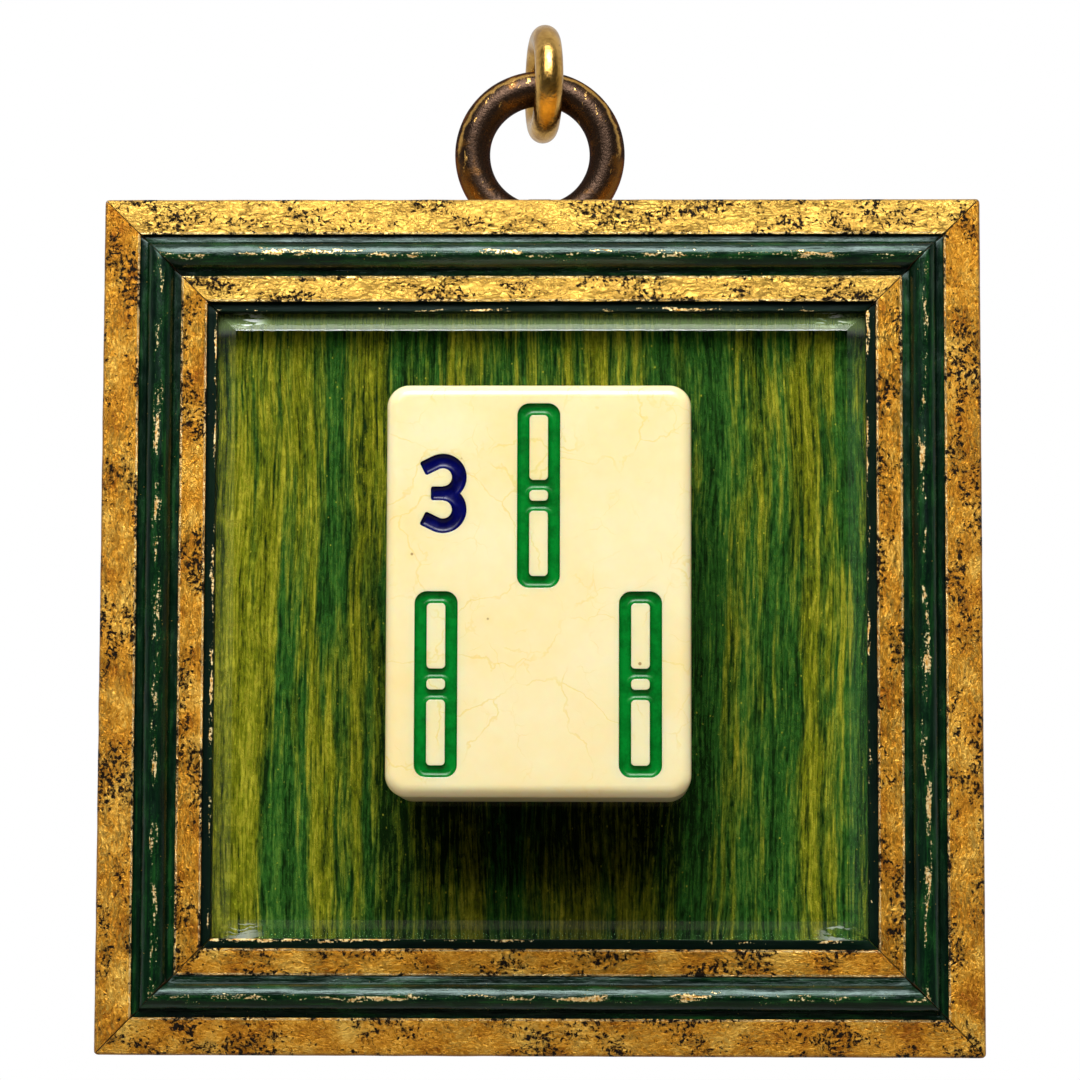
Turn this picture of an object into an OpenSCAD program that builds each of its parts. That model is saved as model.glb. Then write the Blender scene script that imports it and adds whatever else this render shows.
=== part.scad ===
// Framed mahjong tile ornament: a small mitred frame with a bevelled pane, a tile bonded
// to the pane, and a ring and link to hang it by.
// The frame stands on the XZ plane's lower edge: X to the right, Y to the back, Z up.
// The origin is the middle of the bottom rail's underside.

/* [Frame] */
// Outer width of the frame
frame_w = 66; // [56:0.5:90]
// Outer height of the frame
frame_h = 64.2; // [56:0.1:90]
// Depth of the moulding, from its back to the crest of the bead
rail_depth = 16; // [15:0.5:22]

/* [Moulding] */
// Width of the outer gilt band
outer_band_w = 2.85; // [2.2:0.05:4]
// Outward slope of the outer gilt band in degrees
outer_slope = 13; // [5:1:18]
// Radius of the rounded outer front edge
outer_round = 0.45; // [0.2:0.05:0.8]
// Height of the outer gilt band above the green floor
outer_step = 0.55; // [0.3:0.05:0.7]
// Width of the green floor that the bead lies on
green_w = 3.05; // [2.6:0.05:4]
// Radius of the green bead
bead_r = 1.05; // [0.8:0.05:1.2]
// Height of the bead's centre above the green floor
bead_lift = 0.15; // [0:0.05:0.3]
// Width of the inner gilt band
inner_band_w = 2.05; // [1.6:0.05:3]
// Outward slope of the inner gilt band in degrees
inner_slope = 8; // [3:1:12]
// Height of the inner gilt band's inner edge above the green floor
inner_step = 0.5; // [0.35:0.05:0.7]
// Width of the dark sight edge
sight_w = 0.7; // [0.4:0.05:1]
// Drop from the inner gilt band to the sight edge
sight_step = 0.5; // [0.3:0.05:0.6]
// Outward slope of the sight edge in degrees
sight_slope = 8; // [0:1:12]
// Thickness of the lip over the pane
lip_t = 0.95; // [0.6:0.05:1.3]
// Overhang of the lip past the rebate wall
lip_w = 1.25; // [0.9:0.05:1.6]

/* [Pane and backing] */
// Thickness of the pane inside its bevel
pane_t = 3; // [2.5:0.1:4]
// Width of bevel that shows inside the sight edge
bevel_show = 1.35; // [0.8:0.05:2]
// Slope of the bevel in degrees
bevel_angle = 26; // [12:1:30]
// Gap between the bevel and the lip
pane_gap = 0.05; // [0:0.01:0.2]
// Gap between the rebate walls and what they hold
rebate_gap = 0.25; // [0.1:0.05:0.5]
// Gap between the pane and the green panel
panel_gap = 0.05; // [0.02:0.01:0.2]
// Thickness of the green panel
panel_t = 2; // [1.5:0.1:3]
// Thickness of the backing board
board_t = 2.5; // [1.5:0.1:3]

/* [Nails and points] */
// Leg length of a corner nail
nail_leg = 2.6; // [2:0.1:3]
// Thickness of a corner nail
nail_t = 0.4; // [0.3:0.05:0.6]
// Depth that a corner nail is driven to
nail_h = 7; // [5:0.5:9]
// Distance of a corner nail's apex from the frame's outer faces
nail_inset = 2.2; // [1.8:0.1:3]
// Width of a glazing point
point_w = 4; // [3:0.5:6]
// Thickness of a glazing point
point_t = 0.4; // [0.3:0.05:0.6]
// Length of a glazing point over the board
point_reach = 4; // [2.5:0.5:6]
// Length of a glazing point in the rail, with its tip
point_grip = 3.5; // [3:0.5:4.5]

/* [Tile] */
// Width of the tile
tile_w = 22; // [20.5:0.1:26]
// Height of the tile
tile_h = 29.8; // [28.5:0.1:34]
// Thickness of the tile
tile_t = 11; // [8:0.5:14]
// Radius of the tile's outline corners
tile_corner = 1.6; // [1:0.1:2.4]
// Radius of the tile's front and back edges
tile_edge = 0.9; // [0.4:0.1:1.4]
// Height of the tile's centre above the frame's centre
tile_rise = 1.58; // [0:0.02:4]
// Distance of the tile's centre right of the frame's centre line
tile_right = 0.12; // [-1:0.02:1]
// Thickness of the adhesive under the tile
glue_t = 0.25; // [0.15:0.05:0.5]
// Margin of bare tile around the adhesive
glue_margin = 2; // [1.5:0.1:4]

/* [Engraving] */
// Depth of the engraved grooves
groove_depth = 0.7; // [0.5:0.05:1.2]
// Thickness of the enamel in the grooves
enamel_t = 0.45; // [0.2:0.05:0.45]
// Width of a stick
stick_w = 3.15; // [2.6:0.05:3.6]
// Height of a stick
stick_h = 13.42; // [12.8:0.02:13.8]
// Corner radius of a stick
stick_round = 0.9; // [0.3:0.02:1.2]
// Width of the bare windows in a stick
window_w = 1.28; // [0.9:0.02:1.6]
// Height of each long window
window_h = 4.65; // [4:0.05:4.8]
// Corner radius of a window
window_round = 0.26; // [0.1:0.02:0.3]
// Height of the short window between the long ones
pill_h = 0.72; // [0.62:0.02:0.9]
// Width of the groove between the short and long windows
node_band = 0.79; // [0.5:0.01:0.9]
// Margin between the ends of the tile and its sticks
stick_end_margin = 1.38; // [1:0.02:1.5]
// Margin between the sides of the tile and its lower sticks
stick_side_margin = 2.08; // [1.5:0.02:3]
// Distance from the tile's left side to the middle of the numeral's bowls
numeral_margin = 4.1; // [3.6:0.05:5]
// Distance from the tile's top to the middle of the numeral
numeral_drop = 7.95; // [6:0.05:8.5]
// Width of the numeral's stroke
numeral_stroke = 1.12; // [0.8:0.02:1.2]
// Radius of the numeral's bowls at the middle of the stroke
bowl_r = 1.18; // [1.1:0.02:1.3]
// Distance of each bowl's centre from the numeral's middle
bowl_rise = 1.17; // [1.1:0.01:1.25]
// Angle at which each bowl runs out into its tail, in degrees
tail_angle = 116; // [100:1:130]
// Length of each tail
tail_len = 1.08; // [0.4:0.01:1.2]
// Length of the numeral's middle bar
bar_len = 0.9; // [0.4:0.05:1.2]
// Height of the numeral's middle bar
bar_h = 1.06; // [0.7:0.01:1.2]

/* [Hanger] */
// Distance of the hanger from the frame's centre line, to the right
hanger_x = -0.5; // [-3:0.1:3]
// Radius of the ring at the middle of its wire
ring_r = 5.35; // [5:0.05:8]
// Radius of the ring's wire
ring_wire_r = 1.42; // [1:0.02:1.6]
// Height of the ring's pivot above the frame
pivot_rise = 1.2; // [1:0.02:3]
// Radius of the link at the middle of its wire
link_r = 3.6; // [3.4:0.05:5]
// Radius of the link's wire
link_wire_r = 1.13; // [0.8:0.01:1.2]
// Height of the link's centre above the wire that it hangs on
link_lift = 0.4; // [0:0.05:0.5]
// Distance of the link right of the ring's centre line
link_shift = 0.3; // [-0.5:0.05:0.5]
// Turn of the link about the vertical, in degrees
link_turn = 8; // [0:1:15]
// Thickness of the strap
strap_t = 0.2; // [0.15:0.05:0.4]
// Width of the strap where it goes round the ring
knuckle_w = 1.8; // [1.6:0.1:2.4]
// Gap between the ring's wire and the strap
knuckle_gap = 0.08; // [0.06:0.01:0.1]
// Width of the strap's plate
plate_w = 5; // [4.5:0.1:6]
// Height of the strap's plate
plate_h = 5.4; // [5:0.1:6]
// Distance of the plate's top below the frame's top
plate_drop = 1; // [0.8:0.1:1.5]
// Radius of the plate's corners
plate_round = 1; // [0.4:0.1:1.6]
// Radius of the screw's shank
screw_r = 0.8; // [0.6:0.05:1]
// Length of the screw below its head
screw_len = 5.2; // [4:0.1:5.4]
// Radius of the screw's head
screw_head_r = 1.5; // [1.2:0.05:1.8]
// Height of the screw's head
screw_head_h = 0.8; // [0.6:0.05:1]
// Width of the slot in the screw's head
screw_slot_w = 0.4; // [0.3:0.05:0.5]
// Depth of the slot in the screw's head
screw_slot_h = 0.4; // [0.2:0.05:0.4]
// Gap between the screw's shank and its holes
screw_gap = 0.03; // [0.02:0.01:0.1]

/* [Hidden] */
$fn = 64;
// Length by which a cut runs past the face that it opens
over = 1;

// Moulding section: u runs inward from the outer face, v forward from the back
back_y = rail_depth / 2;
green_u = outer_band_w;
inner_u = green_u + green_w;
sight_u = inner_u + inner_band_w;
rail_w = sight_u + sight_w;
rebate_u = rail_w - lip_w;
bead_u = green_u + green_w / 2;
bead_v = rail_depth - bead_r;
floor_v = bead_v - bead_lift;
outer_hi = floor_v + outer_step;
outer_lo = outer_hi - outer_band_w * tan(outer_slope);
round_v = outer_lo - outer_round * (1 - sin(outer_slope)) / cos(outer_slope);
inner_hi = floor_v + inner_step;
inner_lo = inner_hi - inner_band_w * tan(inner_slope);
sight_lo = inner_hi - sight_step;
sight_hi = sight_lo + sight_w * tan(sight_slope);
lip_v = sight_hi - lip_t;

// Stack in the rebate, from the pane's face to the glazing points
hold_u = rebate_u + rebate_gap;
hold_w = frame_w - 2 * hold_u;
hold_h = frame_h - 2 * hold_u;
bevel_w = rail_w - hold_u + bevel_show;
pane_v = lip_v - pane_gap + bevel_show * tan(bevel_angle);
pane_edge_v = pane_v - bevel_w * tan(bevel_angle);
pane_back_v = pane_v - pane_t;
board_v = pane_back_v - panel_gap - panel_t;
point_v = board_v - board_t;

// Tile
tile_z = frame_h / 2 + tile_rise;
tile_back_v = pane_v + glue_t;
tile_front_v = tile_back_v + tile_t;
groove_v = tile_front_v - groove_depth;
stick_rise = tile_h / 2 - stick_end_margin - stick_h / 2;
stick_spread = tile_w / 2 - stick_side_margin - stick_w / 2;

// Hanger: the knuckle's bore leaves room for the curve of the ring inside it
ring_sag = ring_r - sqrt(pow(ring_r, 2) - pow(knuckle_w / 2, 2));
bore_r = ring_wire_r + ring_sag / 2 + knuckle_gap;
knuckle_r = bore_r + strap_t;
pivot_y = back_y + knuckle_r;
pivot_z = frame_h + pivot_rise;
ring_z = pivot_z - ring_sag / 2 + ring_r;
link_z = ring_z + ring_r + link_lift;
plate_t = 2 * strap_t;
plate_top = frame_h - plate_drop;
screw_z = plate_top - plate_h / 2;

// Colours
gilt = [0.80, 0.60, 0.24];
cream = [0.98, 0.92, 0.72];
stick_green = [0.02, 0.40, 0.12];
numeral_blue = [0.04, 0.05, 0.42];
panel_green = [0.30, 0.38, 0.08];
board_brown = [0.50, 0.37, 0.24];
pane_clear = [0.72, 0.82, 0.74, 0.5];
glue_clear = [0.92, 0.92, 0.88, 0.6];
steel_grey = [0.62, 0.63, 0.65];
brass = [0.78, 0.60, 0.26];
bronze = [0.27, 0.19, 0.13];

// Rectangle with round corners about the origin
module round_rect(w, h, r) {
    square([w, h - 2 * r], center = true);
    square([w - 2 * r, h], center = true);
    for (x = [-1, 1], y = [-1, 1]) {
        translate([x * (w / 2 - r), y * (h / 2 - r)]) circle(r = r);
    }
}

// Stands a drawing of the front up, and carries it forward to depth v
module front(v) {
    translate([0, back_y - v, 0]) rotate([90, 0, 0]) children();
}

// Lays a rail drawn along X, with Y inward and Z forward, on one side of the frame
module side(angle, half_span) {
    translate([0, back_y, frame_h / 2]) rotate([0, angle, 0])
        translate([0, 0, -half_span]) rotate([90, 0, 0]) children();
}

module rail_section() {
    polygon([[0, 0], [rebate_u, 0], [rebate_u, lip_v], [rail_w, lip_v], [rail_w, sight_hi],
             [sight_u, sight_lo], [sight_u, inner_hi], [inner_u, inner_lo], [inner_u, floor_v],
             [green_u, floor_v], [green_u, outer_hi],
             [outer_round * (1 - sin(outer_slope)), round_v + outer_round * cos(outer_slope)],
             [0, round_v]]);
    translate([outer_round, round_v]) circle(r = outer_round);
    translate([bead_u, bead_v]) circle(r = bead_r);
}

// One moulding, mitred at both ends
module mitred_rail(len) {
    intersection() {
        translate([-len / 2, 0, 0]) rotate([90, 0, 90]) linear_extrude(len) rail_section();
        translate([0, 0, -over]) linear_extrude(rail_depth + 2 * over)
            polygon([[-len / 2, 0], [len / 2, 0], [len / 2 - rail_w, rail_w], [rail_w - len / 2, rail_w]]);
    }
}

// A corner nail: two legs, one along each rail, from an apex on the mitre
module corner_nail() {
    translate([nail_inset, -nail_h, nail_inset]) {
        cube([nail_leg, nail_h, nail_t]);
        cube([nail_t, nail_h, nail_leg]);
    }
}

module nail_set() {
    for (x = [0, 1], z = [0, 1]) {
        translate([(x - 0.5) * frame_w, back_y, z * frame_h])
            mirror([x, 0, 0]) mirror([0, 0, z]) corner_nail();
    }
}

// A glazing point, drawn on a rail, with its tip in the rail
module glazing_point() {
    half = point_w / 2;
    translate([0, rebate_u, point_v - point_t]) linear_extrude(point_t)
        polygon([[-half, point_reach], [-half, half - point_grip], [0, -point_grip],
                 [half, half - point_grip], [half, point_reach]]);
}

module rail(angle, len, half_span) {
    difference() {
        side(angle, half_span) difference() {
            mitred_rail(len);
            glazing_point();
        }
        nail_set();
    }
}

module top_rail() {
    color(gilt) difference() {
        rail(180, frame_w, frame_h / 2);
        screw_hole(screw_len);
    }
}

module bottom_rail() {
    color(gilt) rail(0, frame_w, frame_h / 2);
}

module left_rail() {
    color(gilt) rail(90, frame_h, frame_w / 2);
}

module right_rail() {
    color(gilt) rail(-90, frame_h, frame_w / 2);
}

module corner_nails() {
    color(steel_grey) nail_set();
}

module glazing_points() {
    color(steel_grey) {
        for (angle = [0, 180]) side(angle, frame_h / 2) glazing_point();
        for (angle = [90, -90]) side(angle, frame_w / 2) glazing_point();
    }
}

// Section of the pane across a width w
module pane_section(w) {
    polygon([[-w / 2, pane_back_v], [w / 2, pane_back_v], [w / 2, pane_edge_v],
             [w / 2 - bevel_w, pane_v], [bevel_w - w / 2, pane_v], [-w / 2, pane_edge_v]]);
}

// The two sections meet as mitred bevels at the corners
module bevelled_glass() {
    color(pane_clear) translate([0, back_y, frame_h / 2]) intersection() {
        rotate([180, 0, 0]) linear_extrude(hold_h, center = true) pane_section(hold_w);
        rotate([180, 90, 0]) linear_extrude(hold_w, center = true) pane_section(hold_h);
    }
}

// A flat board in the rebate, from depth v forward
module board(v, t) {
    translate([-hold_w / 2, back_y - v - t, hold_u]) cube([hold_w, t, hold_h]);
}

module green_panel() {
    color(panel_green) board(board_v, panel_t);
}

module backing_board() {
    color(board_brown) board(point_v, board_t);
}

// Outline of a stick, with its three bare windows
module stick_outline() {
    difference() {
        round_rect(stick_w, stick_h, stick_round);
        round_rect(window_w, pill_h, window_round);
        for (y = [-1, 1]) {
            translate([0, y * (pill_h / 2 + node_band + window_h / 2)])
                round_rect(window_w, window_h, window_round);
        }
    }
}

// Upper bowl of the numeral about its own centre, open to the left, with its tail
module numeral_bowl() {
    outer = bowl_r + numeral_stroke / 2;
    inner = bowl_r - numeral_stroke / 2;
    reach = 2 * outer;
    difference() {
        circle(r = outer);
        circle(r = inner);
        polygon([[0, 0], [reach * cos(tail_angle), reach * sin(tail_angle)],
                 [-reach, reach], [-reach, -reach], [0, -reach]]);
    }
    rotate(tail_angle) translate([inner, 0]) square([numeral_stroke, tail_len]);
}

// The numeral: two bowls, mirrored about the bar between them
module numeral_outline() {
    for (flip = [0, 1]) mirror([0, flip]) translate([0, bowl_rise]) numeral_bowl();
    translate([-bar_len, -bar_h / 2]) square([bar_len, bar_h]);
}

// Places of the engraved motifs on the tile's face
module at_upper_stick() {
    translate([tile_right, tile_z + stick_rise]) children();
}

module at_lower_stick(hand) {
    translate([tile_right + hand * stick_spread, tile_z - stick_rise]) children();
}

module at_numeral() {
    translate([tile_right - tile_w / 2 + numeral_margin, tile_z + tile_h / 2 - numeral_drop]) children();
}

module enamel_in(tint) {
    color(tint) front(groove_v) linear_extrude(enamel_t) children();
}

// The block is the space that its front, side and top outlines share
module tile_block() {
    mid_y = back_y - (tile_back_v + tile_front_v) / 2;
    translate([tile_right, mid_y, tile_z]) intersection() {
        rotate([90, 0, 0]) linear_extrude(tile_t + 2 * over, center = true)
            round_rect(tile_w, tile_h, tile_corner);
        rotate([90, 0, 90]) linear_extrude(tile_w + 2 * over, center = true)
            round_rect(tile_t, tile_h, tile_edge);
        linear_extrude(tile_h + 2 * over, center = true) round_rect(tile_w, tile_t, tile_edge);
    }
}

module tile_body() {
    color(cream) difference() {
        tile_block();
        front(groove_v) linear_extrude(groove_depth + over) {
            at_upper_stick() stick_outline();
            for (hand = [-1, 1]) at_lower_stick(hand) stick_outline();
            at_numeral() numeral_outline();
        }
    }
}

module tile_adhesive() {
    color(glue_clear) front(pane_v) linear_extrude(glue_t) translate([tile_right, tile_z])
        round_rect(tile_w - 2 * glue_margin, tile_h - 2 * glue_margin, tile_corner);
}

module upper_stick_enamel() {
    enamel_in(stick_green) at_upper_stick() stick_outline();
}

module left_stick_enamel() {
    enamel_in(stick_green) at_lower_stick(-1) stick_outline();
}

module right_stick_enamel() {
    enamel_in(stick_green) at_lower_stick(1) stick_outline();
}

module numeral_enamel() {
    enamel_in(numeral_blue) at_numeral() numeral_outline();
}

// Places what is drawn along Z, from the frame's back forward, on the screw's axis
module on_screw_axis() {
    translate([hanger_x, back_y, screw_z]) rotate([90, 0, 0]) children();
}

module screw_hole(depth) {
    on_screw_axis() translate([0, 0, -over]) cylinder(r = screw_r + screw_gap, h = depth + over);
}

// The strap goes round the ring and lies doubled on the back of the rail
module hanger_strap() {
    neck_z = plate_top - plate_round - pivot_z;
    color(brass) difference() {
        union() {
            translate([hanger_x, pivot_y, pivot_z]) rotate([90, 0, 90])
                linear_extrude(knuckle_w, center = true) {
                    circle(r = knuckle_r);
                    polygon([[-knuckle_r, 0], [-knuckle_r, neck_z], [plate_t - knuckle_r, neck_z],
                             [knuckle_r * sin(45), -knuckle_r * cos(45)]]);
                }
            translate([hanger_x, back_y + plate_t, screw_z]) rotate([90, 0, 0])
                linear_extrude(plate_t) round_rect(plate_w, plate_h, plate_round);
        }
        translate([hanger_x, pivot_y, pivot_z]) rotate([0, 90, 0])
            cylinder(r = bore_r, h = knuckle_w + 2 * over, center = true);
        on_screw_axis() cylinder(r = screw_r + screw_gap, h = 2 * (plate_t + over), center = true);
    }
}

module hanger_screw() {
    color(brass) on_screw_axis() difference() {
        union() {
            translate([0, 0, -plate_t]) cylinder(r = screw_r, h = plate_t + screw_len);
            translate([0, 0, -plate_t - screw_head_h]) cylinder(r = screw_head_r, h = screw_head_h);
        }
        translate([0, 0, screw_slot_h / 2 - over / 2 - plate_t - screw_head_h])
            cube([2 * (screw_head_r + over), screw_slot_w, screw_slot_h + over], center = true);
    }
}

module wire_ring(r, wire_r) {
    rotate_extrude() translate([r, 0]) circle(r = wire_r);
}

module hanging_ring() {
    color(bronze) translate([hanger_x, pivot_y, ring_z]) rotate([90, 0, 0]) wire_ring(ring_r, ring_wire_r);
}

module hanging_link() {
    color(brass) translate([hanger_x + link_shift, pivot_y, link_z]) rotate([0, 0, link_turn])
        rotate([0, 90, 0]) wire_ring(link_r, link_wire_r);
}

top_rail();
bottom_rail();
left_rail();
right_rail();
corner_nails();
bevelled_glass();
green_panel();
backing_board();
glazing_points();
tile_body();
tile_adhesive();
upper_stick_enamel();
left_stick_enamel();
right_stick_enamel();
numeral_enamel();
hanger_strap();
hanger_screw();
hanging_ring();
hanging_link();
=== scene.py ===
import math
from types import SimpleNamespace

import bmesh
import bpy
from bpy.props import FloatProperty, FloatVectorProperty, IntProperty, PointerProperty
from bpy.types import Operator, Panel, PropertyGroup
from mathutils import Euler, Matrix, Vector, noise


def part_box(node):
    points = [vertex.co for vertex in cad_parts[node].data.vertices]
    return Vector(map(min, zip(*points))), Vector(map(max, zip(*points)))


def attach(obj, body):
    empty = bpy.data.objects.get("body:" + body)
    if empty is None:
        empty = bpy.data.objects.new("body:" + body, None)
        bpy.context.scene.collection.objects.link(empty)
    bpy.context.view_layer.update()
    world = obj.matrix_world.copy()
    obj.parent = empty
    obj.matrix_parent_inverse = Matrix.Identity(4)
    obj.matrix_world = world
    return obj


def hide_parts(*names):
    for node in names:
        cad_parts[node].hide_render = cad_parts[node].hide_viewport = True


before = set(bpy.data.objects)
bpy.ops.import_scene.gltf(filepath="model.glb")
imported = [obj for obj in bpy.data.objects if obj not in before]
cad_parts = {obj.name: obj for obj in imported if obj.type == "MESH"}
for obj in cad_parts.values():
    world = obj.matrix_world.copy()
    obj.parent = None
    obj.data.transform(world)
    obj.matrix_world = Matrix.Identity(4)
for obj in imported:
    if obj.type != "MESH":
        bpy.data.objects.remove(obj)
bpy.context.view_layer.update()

bl_info = {
    "name": "Framed Tile Ornament",
    "version": (1, 0, 0),
    "blender": (4, 5, 0),
    "location": "View3D > Sidebar > Ornament",
    "description": "A gilt frame with a bevelled pane, a tile bonded to it and a ring to hang it by",
    "category": "Add Mesh",
}

MM = 0.001
# Vertices of a solid's loose triangles closer than this are one vertex
WELD = 1e-7
# Slack for telling which plane a vertex or face lies on
NEAR = 1e-6
# Width of the strips that the front of the moulding's section is cut into
FACET = 0.45 * MM
# Cuts along a rail
RAIL_CUTS = 79
# Distance from one rail to the next along the map that the rails' finishes use, top rail first
RAIL_APART = 120 * MM
# Places of a rail's finishes among its materials, and of the pane's among its own
GILT, LACQUER, BARE = range(3)
POLISHED, BEVELLED, GROUND = range(3)


def length(name, description, mm):
    """A length property, given in millimetres and kept in metres."""
    return FloatProperty(name=name, description=description, default=mm * MM, unit="LENGTH", precision=5)


def angle(name, description, degrees):
    """An angle property, given in degrees and kept in radians."""
    return FloatProperty(name=name, description=description, default=math.radians(degrees), unit="ROTATION")


def level(name, description, value):
    """A plain number property."""
    return FloatProperty(name=name, description=description, default=value, precision=3)


def tint(name, description, red, green, blue):
    """A linear colour property."""
    return FloatVectorProperty(name=name, description=description, default=(red, green, blue),
                               size=3, min=0.0, max=1.0, subtype="COLOR")


class MouldingSizes(PropertyGroup):
    """Section of the moulding, as the solids have it, and how its edges are softened"""

    outer_band_w: length("Outer band", "Width of the outer gilt band", 2.85)
    outer_slope: angle("Outer slope", "Outward slope of the outer gilt band", 13)
    outer_round: length("Outer round", "Radius of the rounded outer front edge", 0.45)
    outer_step: length("Outer step", "Height of the outer gilt band above the green floor", 0.55)
    green_w: length("Green floor", "Width of the green floor that the bead lies on", 3.05)
    bead_r: length("Bead radius", "Radius of the green bead", 1.05)
    bead_lift: length("Bead lift", "Height of the bead's centre above the green floor", 0.15)
    fillet_drop: length("Fillet drop", "Fall of the green floor from the bead to the gilt bands", 0.06)
    floor_rise: length("Floor rise", "Thickness of the lacquer and its ground on the green floor", 0.16)
    inner_band_w: length("Inner band", "Width of the inner gilt band", 2.05)
    inner_slope: angle("Inner slope", "Outward slope of the inner gilt band", 8)
    inner_step: length("Inner step", "Height of the inner band's inner edge above the green floor", 0.5)
    sight_w: length("Sight edge", "Width of the dark sight edge", 0.7)
    sight_step: length("Sight step", "Drop from the inner gilt band to the sight edge", 0.5)
    sight_slope: angle("Sight slope", "Outward slope of the sight edge", 8)
    lip_t: length("Lip", "Thickness of the lip over the pane", 0.95)
    lip_w: length("Lip overhang", "Overhang of the lip past the rebate wall", 1.25)
    arris_r: length("Arris radius", "Softening of the moulding's sharp edges", 0.09)
    mitre_gap: length("Mitre gap", "Half the open joint between two rails", 0.018)
    mitre_ease: length("Mitre easing", "Depth to which a rail's mitred edge is worn", 0.035)
    corner_r: length("Corner radius", "Wear of the frame's outer corners", 0.4)
    grain: length("Unevenness size", "Size of the hand-finished unevenness", 2.4)
    unevenness: length("Unevenness", "Depth of the hand-finished unevenness", 0.05)


class PaneSizes(PropertyGroup):
    """Softening of the pane, the boards and the metal that holds them"""

    glass_edge: length("Glass edge", "Radius of the polished edges of the pane", 0.07)
    board_edge: length("Board edge", "Radius of the edges of the boards", 0.12)
    metal_edge: length("Metal edge", "Radius of the edges of the nails and points", 0.05)
    nail_stand: length("Nail stand", "Height of the nails above the back of the rails", 0.03)


class TileSizes(PropertyGroup):
    """Rounding of the tile and shape of its engraving"""

    corner: length("Corner", "Radius of the tile's outline corners", 1.6)
    edge: length("Edge", "Radius of the tile's front and back edges", 0.9)
    lip: length("Groove lip", "Softening of the edge of each groove", 0.03)
    groove: length("Groove", "Depth of the grooves", 0.56)
    fill_drop: length("Fill drop", "Depth of the enamel's edge below the tile's face", 0.03)
    dish: length("Dish", "Hollow of the enamel between the groove's walls", 0.30)
    dish_w: length("Dish width", "Width of the enamel's slope from a groove's wall", 0.34)
    numeral_round: length("Numeral corner", "Radius of the corners of the numeral", 0.2)
    fill_back: length("Fill back", "Depth of the enamel's back below the tile's face", 0.54)
    bond_edge: length("Bond edge", "Radius of the bond's squeezed edge", 0.1)


class HangerSizes(PropertyGroup):
    """Wires of the ring and the link, and softening of the strap and screw"""

    link_wire_r: length("Link wire", "Radius of the link's wire", 1.13)
    link_turn: angle("Link turn", "Turn of the link about the vertical", 8)
    wire_steps: IntProperty(name="Wire steps", description="Steps round a ring", default=144, min=24)
    wire_sides: IntProperty(name="Wire sides", description="Sides of a ring's wire", default=40, min=12)
    wire_dent: length("Wire dents", "Depth of the dents in the wires", 0.03)
    dent_size: length("Dent size", "Size of the dents in the wires", 2.2)
    strap_edge: length("Strap edge", "Radius of the edges of the strap and screw", 0.05)


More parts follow.
